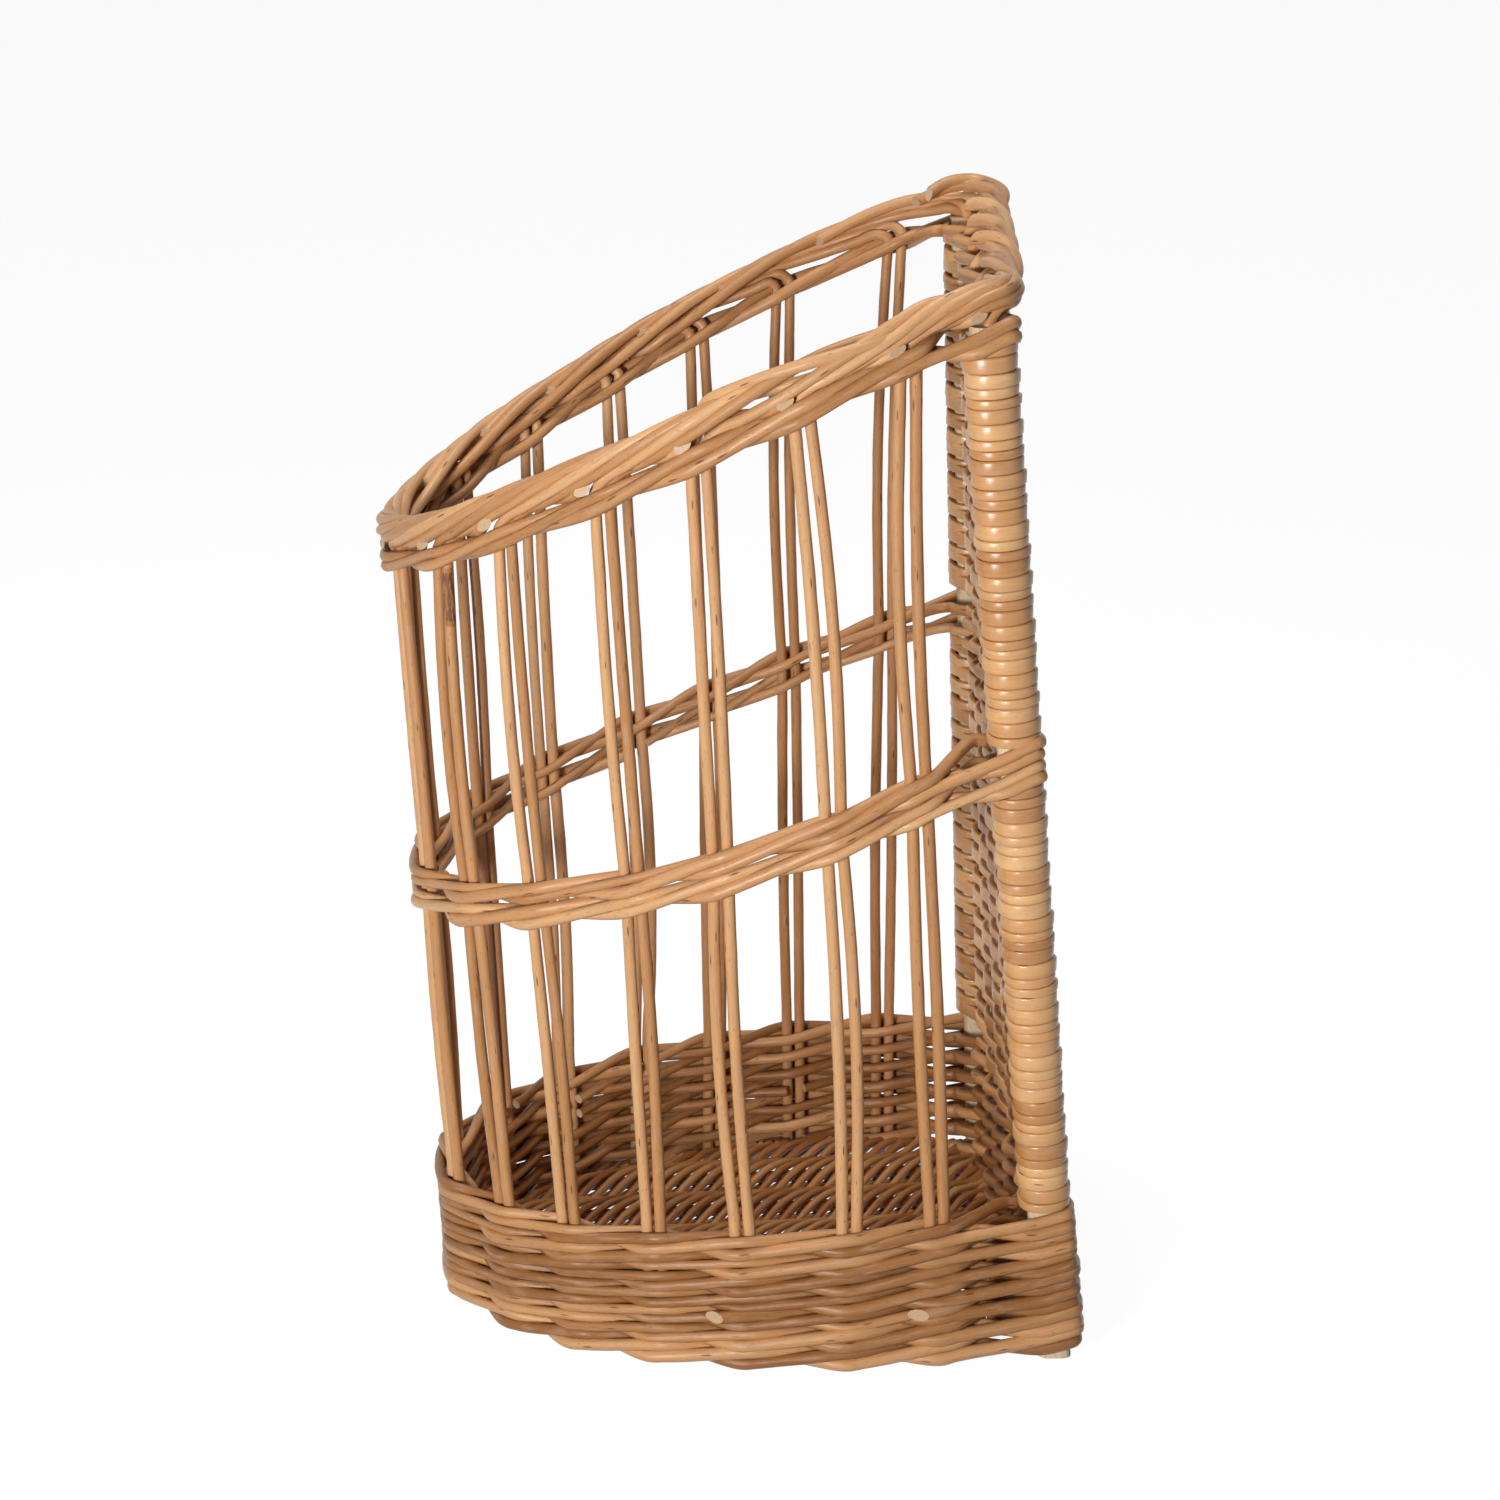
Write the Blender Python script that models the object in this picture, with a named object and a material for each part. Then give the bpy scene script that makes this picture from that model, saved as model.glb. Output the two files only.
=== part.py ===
"""Willow baguette basket: two corner posts, paired willow stakes, woven bands, a woven back and a rolled border.

The basket stands on the floor with its low open front towards -Y and its tall woven back towards +Y.
Units are metres and +Z is up. The wall line is the middle of the basket's wall, seen from above: a U from
the far corner post (-X) round the front to the near corner post (+X), closed by the straight back.
"""

import math

import bmesh
import bpy
import numpy as np
from mathutils import Vector

# Plan of the wall line at the floor
HALF_WIDTH = 0.134
DEPTH = 0.356
# Distance in front of the back as a share of DEPTH, and half width there as a share of HALF_WIDTH
PLAN_SHARES = ((0.0, 1.0), (0.298, 1.104), (0.635, 0.940), (0.888, 0.563), (1.0, 0.0))

# How the hand-woven wall leans, turns and spreads by the time it has risen LEAN_HEIGHT
LEAN_HEIGHT = 0.600
LEAN_FORWARD = 0.0377
LEAN_SIDE = 0.0052
TURN_SHARE = 0.126
SPREAD_SHARE = 0.087
SHORTEN_SHARE = 0.025

# Heights of the border's middle, the middle band's middle and the base band's top, front and back
RIM_FRONT = 0.480
RIM_BACK = 0.6465
RIM_SWELL_SHARE = 0.128
MIDDLE_FRONT = 0.266
MIDDLE_BACK = 0.382
MIDDLE_SWELL_SHARE = -0.304
BAND_FRONT = 0.0795
BAND_BACK = 0.098
# Every band runs level where it passes round the corner posts
LEVEL_LENGTH = 0.014

CLEARANCE = 0.0003

# Corner posts and the stakes of the woven back
POST_SIDE = 0.020
POST_HEAD_ROOM = 0.0015
BACK_STAKE_RADIUS = 0.004
BACK_STAKE_COUNT = 5

# Paired willow stakes: places along half the wall line, at the floor, at the middle band and at the border
STAKE_RADIUS = 0.0035
PAIR_SPACING = 0.0085
STAKE_FOOT = 0.004
NEAR_PAIR_SHARES = (
    (0.072, 0.068, 0.062),
    (0.201, 0.186, 0.196),
    (0.310, 0.308, 0.315),
    (0.429, 0.457, 0.468),
    (0.560, 0.584, 0.607),
    (0.703, 0.742, 0.746),
    (0.837, 0.863, 0.895),
)
FAR_PAIR_SHARES = (
    (-0.072, -0.068, -0.062),
    (-0.201, -0.196, -0.196),
    (-0.322, -0.320, -0.322),
    (-0.446, -0.467, -0.454),
    (-0.569, -0.590, -0.587),
    (-0.701, -0.714, -0.721),
    (-0.843, -0.865, -0.893),
)

# Woven rows: each strand stands for the three rods of one row of waling
ROW_RADIUS = 0.0041
BAND_ROWS = 7
BAND_LIFT_BACK = 0.0075
MIDDLE_ROW_SPREAD = 0.0075
UNDER_GAP = 0.0008
# A strand runs straight for this far on each side of a stake's middle, so that its slanted runs stay clear
STAKE_PASS = 0.003

# Rolled border of three twisted strands
BORDER_STRANDS = 3
STRAND_RADIUS = 0.0043
TWIST_RADIUS = 0.0063
TWIST_LENGTH = 0.176
POINTS_PER_TURN = 9
CORNER_START_SHARE = 0.985
# The border's back stretch lies behind the posts and a little above the wall line's end
BORDER_SET_BACK = 0.010
BORDER_BACK_LIFT = 0.003

# Woven back: flat strips wound round the posts and worked between the back stakes
STRIP_THICKNESS = 0.0040
BACK_HALF_THICKNESS = 0.0085
RIB_HEIGHT = 0.018
GROOVE_DEPTH = 0.0018
SLEEVE_CHAMFER = 0.006
CUTTER_OVERRUN = 0.010

# Floor: sticks that run front to back, and one long rod woven to and fro across them
FLOOR_STICK_RADIUS = 0.004
FLOOR_STICKS = 5
# Spacing of the sticks as a share of HALF_WIDTH
FLOOR_STICK_SHARE = 0.3286
FLOOR_STICK_OVERHANG = 0.005
FLOOR_ROD_RADIUS = 0.0031
FLOOR_LIFT = 0.0025
FLOOR_PITCH = 0.021
FLOOR_BACK_GAP = 0.030
# The rod swings past a stick by this much more than they touch, so that its slanted runs stay clear
FLOOR_BEND_SHARE = 1.10

PLAN_SAMPLES = 48
BORDER_GUIDE_POINTS = 33
BACK_GUIDE_POINTS = 9
SLOPE_STEP_SHARE = 0.004
REACH_STEPS = 400
CROSSING_ROUNDS = 4

WILLOW = (0.62, 0.36, 0.16, 1.0)
WILLOW_DARK = (0.50, 0.27, 0.11, 1.0)
STRIP = (0.66, 0.38, 0.17, 1.0)
BATTEN = (0.74, 0.58, 0.34, 1.0)


def clear_scene() -> None:
    """Remove every object that the file opened with."""
    for old in list(bpy.data.objects):
        bpy.data.objects.remove(old, do_unlink=True)


def make_collection(name: str) -> bpy.types.Collection:
    """Return a new collection in the scene."""
    collection = bpy.data.collections.new(name)
    bpy.context.scene.collection.children.link(collection)
    return collection


def make_material(name: str, colour: tuple, roughness: float) -> bpy.types.Material:
    """Return a plain wood material."""
    material = bpy.data.materials.new(name)
    material.use_nodes = True
    shader = material.node_tree.nodes["Principled BSDF"]
    shader.inputs["Base Color"].default_value = colour
    shader.inputs["Roughness"].default_value = roughness
    shader.inputs["Metallic"].default_value = 0.0
    material.diffuse_color = colour
    return material


def through_points(points: np.ndarray, samples: int, closed: bool) -> np.ndarray:
    """Return a smooth centripetal Catmull-Rom curve through the points."""
    if closed:
        padded = np.vstack([points[-1:], points, points[:2]])
    else:
        padded = np.vstack([2 * points[:1] - points[1:2], points, 2 * points[-1:] - points[-2:-1]])
    curve = []
    for a, b, c, d in zip(padded, padded[1:], padded[2:], padded[3:]):
        knots = [0.0]
        for start, end in ((a, b), (b, c), (c, d)):
            knots.append(knots[-1] + math.sqrt(np.linalg.norm(end - start)))
        k0, k1, k2, k3 = knots
        for k in np.linspace(k1, k2, samples, endpoint=False):
            ab = a + (b - a) * (k - k0) / (k1 - k0)
            bc = b + (c - b) * (k - k1) / (k2 - k1)
            cd = c + (d - c) * (k - k2) / (k3 - k2)
            abc = ab + (bc - ab) * (k - k0) / (k2 - k0)
            bcd = bc + (cd - bc) * (k - k1) / (k3 - k1)
            curve.append(abc + (bcd - abc) * (k - k1) / (k2 - k1))
    if not closed:
        curve.append(points[-1])
    return np.array(curve)


def build_plan() -> tuple[np.ndarray, np.ndarray]:
    """Return the U of the wall line at the floor and each point's share of half its length, -1 to 1."""
    near = [(HALF_WIDTH * wide, -DEPTH * ahead) for ahead, wide in PLAN_SHARES]
    far = [(-x, y) for x, y in near[:-1]]
    line = through_points(np.array(far + near[::-1]), PLAN_SAMPLES, closed=False)
    lengths = np.concatenate([[0.0], np.cumsum(np.linalg.norm(np.diff(line, axis=0), axis=1))])
    return line, 2 * lengths / lengths[-1] - 1


PLAN, PLAN_SHARE_AT = build_plan()
PLAN_HALF_LENGTH = np.linalg.norm(np.diff(PLAN, axis=0), axis=1).sum() / 2


def plan_point(share: float) -> np.ndarray:
    """Return the floor point of the wall line at a share of its length."""
    x = np.interp(share, PLAN_SHARE_AT, PLAN[:, 0])
    y = np.interp(share, PLAN_SHARE_AT, PLAN[:, 1])
    return np.array([x, y])


def plan_outward(share: float) -> np.ndarray:
    """Return the direction out of the basket at a share of the wall line."""
    ahead = plan_point(min(share + SLOPE_STEP_SHARE, 1.0)) - plan_point(max(share - SLOPE_STEP_SHARE, -1.0))
    outward = np.array([ahead[1], -ahead[0]])
    return outward / np.linalg.norm(outward)


def leaned(point: np.ndarray, height: float) -> np.ndarray:
    """Return a floor point of the wall carried up to a height, where the wall leans, turns and spreads."""
    rise = height / LEAN_HEIGHT
    x = point[0] * (1 + SPREAD_SHARE * rise) + TURN_SHARE * rise * point[1] + LEAN_SIDE * rise
    y = point[1] * (1 - SHORTEN_SHARE * rise) - TURN_SHARE * rise * point[0] - LEAN_FORWARD * rise
    return np.array([x, y, height])


def turned(direction: np.ndarray, height: float) -> np.ndarray:
    """Return a level direction as it lies at a height."""
    turn = TURN_SHARE * height / LEAN_HEIGHT
    level = np.array([direction[0] + turn * direction[1], direction[1] - turn * direction[0], 0.0])
    return level / np.linalg.norm(level)


class Level:
    """A band's height round the basket, from the front to the level stretch at the back."""

    def __init__(self, front: float, back: float, swell_share: float = 0.0):
        self.front = front
        self.back = back
        self.swell_share = swell_share

    def at(self, y: float) -> float:
        """Return the height over a floor point at y."""
        t = min(1.0, (DEPTH + y) / (DEPTH - LEVEL_LENGTH))
        return self.front + (self.back - self.front) * (t + self.swell_share * t * (1 - t))

    def at_share(self, share: float) -> float:
        """Return the height at a share of the wall line."""
        return self.at(plan_point(share)[1])

    def slope(self, share: float) -> float:
        """Return the band's rise for each metre along the wall."""
        low = max(share - SLOPE_STEP_SHARE, -1.0)
        high = min(share + SLOPE_STEP_SHARE, 1.0)
        run = np.linalg.norm(plan_point(high) - plan_point(low))
        return (self.at_share(high) - self.at_share(low)) / run

    def steepness(self, share: float) -> float:
        """Return how much longer a plumb line through the band is than one square to it."""
        return math.hypot(1.0, self.slope(share))


class Upright:
    """A straight or slightly bent member of the wall, given by points from its foot to its top.

    A member that doesn't turn with the wall, such as a batten, keeps the direction that it faces halfway up.
    """

    def __init__(self, knots: list, outward: np.ndarray, floor_ys: list, turns: bool = True):
        self.knots = np.array(knots)
        self.outward = outward
        self.floor_ys = floor_ys
        self.turns = turns

    def at(self, height: float) -> np.ndarray:
        """Return the member's middle at a height, on the run of its nearest stretch past its ends."""
        upper = 1 if height < self.knots[1, 2] else len(self.knots) - 1
        low, high = self.knots[upper - 1], self.knots[upper]
        return low + (high - low) * (height - low[2]) / (high[2] - low[2])

    def crossing(self, level: Level) -> float:
        """Return the height at which a band crosses the member."""
        height = level.at(self.floor_ys[0])
        for _ in range(CROSSING_ROUNDS):
            height = level.at(float(np.interp(height, self.knots[:, 2], self.floor_ys)))
        return height

    def out(self, height: float) -> np.ndarray:
        """Return the direction out of the basket at a height."""
        return turned(self.outward, height if self.turns else self.knots[-1, 2] / 2)

    def along(self, height: float) -> np.ndarray:
        """Return the direction along the wall at a height, the way the ring of rows runs."""
        out = self.out(height)
        return np.array([-out[1], out[0], 0.0])


BORDER_REACH = TWIST_RADIUS + STRAND_RADIUS
RIM = Level(RIM_FRONT, RIM_BACK, RIM_SWELL_SHARE)
MIDDLE = Level(MIDDLE_FRONT, MIDDLE_BACK, MIDDLE_SWELL_SHARE)
POST_TOP = RIM_BACK - BORDER_REACH - POST_HEAD_ROOM
STEEPEST = max(RIM.steepness(share) for share in PLAN_SHARE_AT)
UNDER_DROP = (BORDER_REACH + UNDER_GAP + ROW_RADIUS) * STEEPEST


def wall_stake(shares: tuple) -> Upright:
    """Return the middle line of a pair of stakes from its places at floor, middle band and border."""
    middle_share, rim_share = shares[1:]
    heights = (0.0, MIDDLE.at_share(middle_share), RIM.at_share(rim_share))
    knots = [leaned(plan_point(share), height) for share, height in zip(shares, heights)]
    return Upright(knots, plan_outward(middle_share), [plan_point(share)[1] for share in shares])


def stake_top(share: float) -> float:
    """Return the height where a stake ends, square under the sloping border."""
    slope = abs(RIM.slope(share))
    return RIM.at_share(share) - (BORDER_REACH + CLEARANCE) * RIM.steepness(share) - STAKE_RADIUS * slope


def back_member(side: float) -> Upright:
    """Return a member of the straight back, at a share of the half width from far (-1) to near (+1)."""
    foot = np.array([side * HALF_WIDTH, 0.0])
    return Upright([leaned(foot, 0.0), leaned(foot, POST_TOP)], np.array([0.0, 1.0]), [0.0, 0.0], turns=False)


PAIR_SHARES = FAR_PAIR_SHARES[::-1] + NEAR_PAIR_SHARES
PAIRS = [wall_stake(shares) for shares in PAIR_SHARES]
FAR_POST = back_member(-1.0)
NEAR_POST = back_member(1.0)
BACK_STAKES = [back_member(1 - 2 * (i + 1) / (BACK_STAKE_COUNT + 1)) for i in range(BACK_STAKE_COUNT)]


def tube(name: str, points: list, radius: float, home: bpy.types.Collection, colour: tuple,
         closed: bool = False, resolution: int = 2) -> bpy.types.Object:
    """Make a round rod along the points, as a ring where it is closed."""
    curve = bpy.data.curves.new(name, "CURVE")
    curve.dimensions = "3D"
    curve.bevel_depth = radius
    curve.bevel_resolution = resolution
    curve.use_fill_caps = not closed
    curve.twist_mode = "Z_UP" if closed else "MINIMUM"
    spline = curve.splines.new("POLY")
    spline.points.add(len(points) - 1)
    for knot, point in zip(spline.points, points):
        knot.co = (*point, 1.0)
    spline.use_cyclic_u = closed
    rod = bpy.data.objects.new(name, curve)
    home.objects.link(rod)
    curve.materials.append(make_material(name, colour, 0.5))
    return rod


def loft(name: str, sections: list, home: bpy.types.Collection) -> bpy.types.Object:
    """Make a closed solid through sections that have the same number of points, lowest first."""
    shape = bmesh.new()
    rings = [[shape.verts.new(point) for point in section] for section in sections]
    count = len(rings[0])
    for low, high in zip(rings, rings[1:]):
        for i in range(count):
            j = (i + 1) % count
            shape.faces.new((low[i], low[j], high[j], high[i]))
    shape.faces.new(rings[0][::-1])
    shape.faces.new(rings[-1])
    bmesh.ops.recalc_face_normals(shape, faces=shape.faces)
    mesh = bpy.data.meshes.new(name)
    shape.to_mesh(mesh)
    shape.free()
    solid = bpy.data.objects.new(name, mesh)
    home.objects.link(solid)
    return solid


def square_section(post: Upright, height: float, half: float) -> list:
    """Return a post's four corners at a height, half its side from its middle."""
    centre, out, along = post.at(height), post.out(height), post.along(height)
    corners = ((-1, -1), (1, -1), (1, 1), (-1, 1))
    return [centre + along * half * a + out * half * o for a, o in corners]


def make_post(name: str, post: Upright, home: bpy.types.Collection) -> None:
    """Make a square corner post that stands on the floor."""
    half = POST_SIDE / 2
    solid = loft(name, [square_section(post, 0.0, half), square_section(post, POST_TOP, half)], home)
    solid.data.materials.append(make_material(name, BATTEN, 0.6))


def make_back_stake(name: str, stake: Upright, home: bpy.types.Collection) -> None:
    """Make one round stake of the woven back."""
    tube(name, [stake.at(STAKE_FOOT), stake.at(POST_TOP)], BACK_STAKE_RADIUS, home, WILLOW)


def make_pair(name: str, pair: Upright, rim_share: float, home: bpy.types.Collection) -> None:
    """Make the two willow stakes of a pair, side by side along the wall."""
    for side, letter in ((-1, "a"), (1, "b")):
        aside = side * PAIR_SPACING / 2
        heights = (STAKE_FOOT, pair.knots[1, 2], stake_top(rim_share + aside / PLAN_HALF_LENGTH))
        points = [pair.at(h) + pair.along(h) * aside for h in heights]
        tube(f"{name}_{letter}", points, STAKE_RADIUS, home, WILLOW)


def post_turn(post: Upright, height: float, side: float) -> list:
    """Return the points of a row that turns round the outside of a corner post, from the wall to the back."""
    half = POST_SIDE / 2
    reach = (ROW_RADIUS + CLEARANCE) / math.cos(math.pi / 8)
    across = [(half + reach, -half - ROW_RADIUS)]
    for step in range(3):
        angle = step * math.pi / 4
        across.append((half + reach * math.cos(angle), half + reach * math.sin(angle)))
    across.append((-half - ROW_RADIUS, half + reach))
    centre, out = post.at(height), post.out(height)
    along_back = np.array([out[1], -out[0], 0.0])
    return [centre + along_back * side * a + out * o for a, o in across]


def row_points(level: Level, shift: int) -> list:
    """Return the closed run of a woven row, outside two uprights and inside the third, from far to near.

    The shift moves the pattern on by whole uprights, so that the rows lie staggered.
    """
    points = []
    reach = STAKE_RADIUS + ROW_RADIUS + CLEARANCE
    half_pass = PAIR_SPACING / 2 + STAKE_PASS
    for i, pair in enumerate(PAIRS):
        side = -1 if (i + shift) % 3 == 2 else 1
        height = pair.crossing(level)
        centre, out, along = pair.at(height), pair.out(height), pair.along(height)
        points.append(centre + out * side * reach - along * half_pass)
        points.append(centre + out * side * reach + along * half_pass)
    height = level.back
    points += post_turn(NEAR_POST, height, 1.0)
    reach = BACK_STAKE_RADIUS + ROW_RADIUS + CLEARANCE
    for i, stake in enumerate(BACK_STAKES):
        side = 1 if (i + shift) % 3 == 2 else -1
        centre, out, along = stake.at(height), stake.out(height), stake.along(height)
        points.append(centre + out * side * reach - along * STAKE_PASS)
        points.append(centre + out * side * reach + along * STAKE_PASS)
    points += post_turn(FAR_POST, height, -1.0)[::-1]
    return points


def make_rows(home: bpy.types.Collection) -> None:
    """Make the rows of the base band, the two rows of the middle band and the row under the border."""
    first_back = ROW_RADIUS + BAND_LIFT_BACK
    for row in range(BAND_ROWS):
        share = row / (BAND_ROWS - 1)
        front = ROW_RADIUS + share * (BAND_FRONT - 2 * ROW_RADIUS)
        back = first_back + share * (BAND_BACK - ROW_RADIUS - first_back)
        points = row_points(Level(front, back), row)
        tube(f"base_band_row_{row + 1}", points, ROW_RADIUS, home, WILLOW, closed=True, resolution=1)
    for name, spread, shift in (("lower", -MIDDLE_ROW_SPREAD, 0), ("upper", MIDDLE_ROW_SPREAD, 1)):
        level = Level(MIDDLE_FRONT + spread, MIDDLE_BACK + spread, MIDDLE_SWELL_SHARE)
        points = row_points(level, shift)
        tube(f"middle_band_row_{name}", points, ROW_RADIUS, home, WILLOW, closed=True, resolution=1)
    level = Level(RIM_FRONT - UNDER_DROP, RIM_BACK - UNDER_DROP, RIM_SWELL_SHARE)
    points = row_points(level, 2)
    tube("under_border_row", points, ROW_RADIUS, home, WILLOW, closed=True, resolution=1)


def border_guide() -> np.ndarray:
    """Return the closed middle line of the border, round the wall and over both posts and the back."""
    guide = []
    for share in np.linspace(-CORNER_START_SHARE, CORNER_START_SHARE, BORDER_GUIDE_POINTS):
        guide.append(leaned(plan_point(share), RIM.at_share(share)))
    inset = (1 - CORNER_START_SHARE) * PLAN_HALF_LENGTH / HALF_WIDTH
    for side in np.linspace(1 - inset, inset - 1, BACK_GUIDE_POINTS):
        guide.append(leaned(np.array([side * HALF_WIDTH, BORDER_SET_BACK]), RIM_BACK + BORDER_BACK_LIFT))
    return through_points(np.array(guide), PLAN_SAMPLES // 4, closed=True)


def make_border(home: bpy.types.Collection) -> None:
    """Make the twisted strands of the rolled border."""
    guide = border_guide()
    loop = np.vstack([guide, guide[:1]])
    lengths = np.concatenate([[0.0], np.cumsum(np.linalg.norm(np.diff(loop, axis=0), axis=1))])
    turns = round(lengths[-1] / TWIST_LENGTH)
    count = turns * POINTS_PER_TURN
    places = np.arange(count) * lengths[-1] / count
    middle = np.stack([np.interp(places, lengths, loop[:, axis]) for axis in range(3)], axis=1)
    strands = [[] for _ in range(BORDER_STRANDS)]
    for i in range(count):
        ahead = Vector(middle[(i + 1) % count] - middle[i - 1]).normalized()
        side = ahead.cross(Vector((0.0, 0.0, 1.0))).normalized()
        up = side.cross(ahead)
        for k, strand in enumerate(strands):
            angle = 2 * math.pi * (i / POINTS_PER_TURN + k / BORDER_STRANDS)
            strand.append(Vector(middle[i]) + TWIST_RADIUS * (math.cos(angle) * side + math.sin(angle) * up))
    for k, strand in enumerate(strands):
        tube(f"border_strand_{k + 1}", strand, STRAND_RADIUS, home, WILLOW, closed=True, resolution=1)


def sleeve_section(height: float, inset: float) -> list:
    """Return the outline of the woven back at a height: a sleeve round each post and a wall between them."""
    sleeve = POST_SIDE / 2 + STRIP_THICKNESS - inset
    wall = BACK_HALF_THICKNESS - inset
    cut = SLEEVE_CHAMFER
    near, far = NEAR_POST.at(height), FAR_POST.at(height)
    out, along = NEAR_POST.out(height), -NEAR_POST.along(height)
    end = ((-sleeve, -wall), (-sleeve, cut - sleeve), (cut - sleeve, -sleeve), (sleeve - cut, -sleeve),
           (sleeve, cut - sleeve), (sleeve, sleeve - cut), (sleeve - cut, sleeve), (cut - sleeve, sleeve),
           (-sleeve, sleeve - cut), (-sleeve, wall))
    points = [near + along * a + out * o for a, o in end]
    points += [far - along * a - out * o for a, o in end]
    return points


def clearance_cutters(low: float, high: float, home: bpy.types.Collection) -> list:
    """Return cutters for the channels that the posts and the back stakes pass through."""
    cutters = []
    bottom, top = low - CUTTER_OVERRUN, high + CUTTER_OVERRUN
    half = POST_SIDE / 2 + CLEARANCE
    for post in (NEAR_POST, FAR_POST):
        sections = [square_section(post, bottom, half), square_section(post, top, half)]
        cutters.append(loft("post_channel", sections, home))
    sides = 8
    radius = (BACK_STAKE_RADIUS + CLEARANCE) / math.cos(math.pi / sides)
    for stake in BACK_STAKES:
        sections = []
        for height in (bottom, top):
            middle, out, along = stake.at(height), stake.out(height), stake.along(height)
            angles = [2 * math.pi * i / sides for i in range(sides)]
            sections.append([middle + radius * (math.cos(a) * along + math.sin(a) * out) for a in angles])
        cutters.append(loft("stake_channel", sections, home))
    for cutter in cutters:
        cutter.hide_render = True
        cutter.display_type = "WIRE"
    return cutters


def make_back_weave(name: str, low: float, high: float, home: bpy.types.Collection,
                    cutter_home: bpy.types.Collection) -> None:
    """Make a stretch of the woven back, ribbed by its strips, with channels for posts and stakes."""
    ribs = max(1, round((high - low) / RIB_HEIGHT))
    pitch = (high - low) / ribs
    sections = [sleeve_section(low, GROOVE_DEPTH)]
    for rib in range(ribs):
        sections.append(sleeve_section(low + (rib + 0.5) * pitch, 0.0))
        sections.append(sleeve_section(low + (rib + 1) * pitch, GROOVE_DEPTH))
    panel = loft(name, sections, home)
    panel.data.materials.append(make_material(name, STRIP, 0.4))
    for cutter in clearance_cutters(low, high, cutter_home):
        cut = panel.modifiers.new("channel", "BOOLEAN")
        cut.operation = "DIFFERENCE"
        cut.solver = "EXACT"
        cut.object = cutter


def make_back(home: bpy.types.Collection, cutter_home: bpy.types.Collection) -> None:
    """Make the two stretches of the woven back, below and above the middle band."""
    band_reach = MIDDLE_ROW_SPREAD + ROW_RADIUS + CLEARANCE
    under_row_foot = RIM_BACK - UNDER_DROP - ROW_RADIUS
    make_back_weave("back_weave_lower", BAND_BACK + CLEARANCE, MIDDLE_BACK - band_reach, home, cutter_home)
    make_back_weave("back_weave_upper", MIDDLE_BACK + band_reach, under_row_foot - CLEARANCE, home, cutter_home)


def furthest_inside(start: np.ndarray, end: np.ndarray, gap: float) -> np.ndarray:
    """Return the point furthest from start towards end that keeps a gap to the U of the wall line."""
    places = start + (end - start) * np.linspace(0, 1, REACH_STEPS)[:, None]
    clear = [np.linalg.norm(PLAN - place, axis=1).min() >= gap for place in places]
    return places[clear.index(False) - 1]


def make_floor(home: bpy.types.Collection) -> None:
    """Make the floor's sticks and the one rod that is woven to and fro across them."""
    inset = STAKE_RADIUS + 2 * ROW_RADIUS + FLOOR_ROD_RADIUS + 2 * CLEARANCE
    swing = (FLOOR_STICK_RADIUS + FLOOR_ROD_RADIUS + CLEARANCE) * FLOOR_BEND_SHARE
    middle = FLOOR_LIFT + FLOOR_ROD_RADIUS + swing
    spacing = FLOOR_STICK_SHARE * HALF_WIDTH
    spots = [(i - (FLOOR_STICKS - 1) / 2) * spacing for i in range(FLOOR_STICKS)]
    passes = int((DEPTH - FLOOR_BACK_GAP - inset) / FLOOR_PITCH)
    points = []
    fronts = [0.0] * FLOOR_STICKS
    for row in range(passes):
        y = -FLOOR_BACK_GAP - row * FLOOR_PITCH
        limit = furthest_inside(np.array([0.0, y]), np.array([2 * HALF_WIDTH, y]), inset)[0]
        run = [(-limit, 0.0), (limit, 0.0)]
        for i, x in enumerate(spots):
            if abs(x) < limit - swing - FLOOR_STICK_RADIUS:
                fronts[i] = y - FLOOR_STICK_OVERHANG
                run.insert(-1, (x, swing * (-1) ** (i + row)))
        if row % 2:
            run.reverse()
        points += [leaned(np.array([x, y]), middle + z) for x, z in run]
    tube("floor_weaver", points, FLOOR_ROD_RADIUS, home, WILLOW_DARK, resolution=1)
    back = -(BACK_STAKE_RADIUS + 2 * ROW_RADIUS + 2 * CLEARANCE)
    for i, (x, front) in enumerate(zip(spots, fronts)):
        ends = [leaned(np.array([x, y]), middle) for y in (front, back)]
        tube(f"floor_stick_{i + 1}", ends, FLOOR_STICK_RADIUS, home, WILLOW_DARK)


def stand_on_origin(pieces: bpy.types.Collection) -> None:
    """Carry every piece by one empty that puts the middle of the basket's box over the origin."""
    bpy.context.view_layer.update()
    graph = bpy.context.evaluated_depsgraph_get()
    low, high = Vector((math.inf,) * 3), Vector((-math.inf,) * 3)
    for piece in pieces.objects:
        shape = piece.evaluated_get(graph)
        for vertex in shape.to_mesh().vertices:
            place = shape.matrix_world @ vertex.co
            low = Vector(map(min, low, place))
            high = Vector(map(max, high, place))
        shape.to_mesh_clear()
    carrier = bpy.data.objects.new("basket", None)
    bpy.context.scene.collection.objects.link(carrier)
    carrier.location = (-(low.x + high.x) / 2, -(low.y + high.y) / 2, -low.z)
    for piece in [*pieces.objects, *bpy.data.collections["cutters"].objects]:
        piece.parent = carrier


def main() -> None:
    """Build the basket."""
    clear_scene()
    pieces = make_collection("baguette_basket")
    cutters = make_collection("cutters")
    make_post("near_post", NEAR_POST, pieces)
    make_post("far_post", FAR_POST, pieces)
    for i, stake in enumerate(BACK_STAKES):
        make_back_stake(f"back_stake_{i + 1}", stake, pieces)
    for i, (pair, shares) in enumerate(zip(PAIRS, PAIR_SHARES)):
        make_pair(f"stake_{i + 1:02d}", pair, shares[-1], pieces)
    make_rows(pieces)
    make_border(pieces)
    make_back(pieces, cutters)
    make_floor(pieces)
    stand_on_origin(pieces)


if __name__ == "__main__":
    main()
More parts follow.
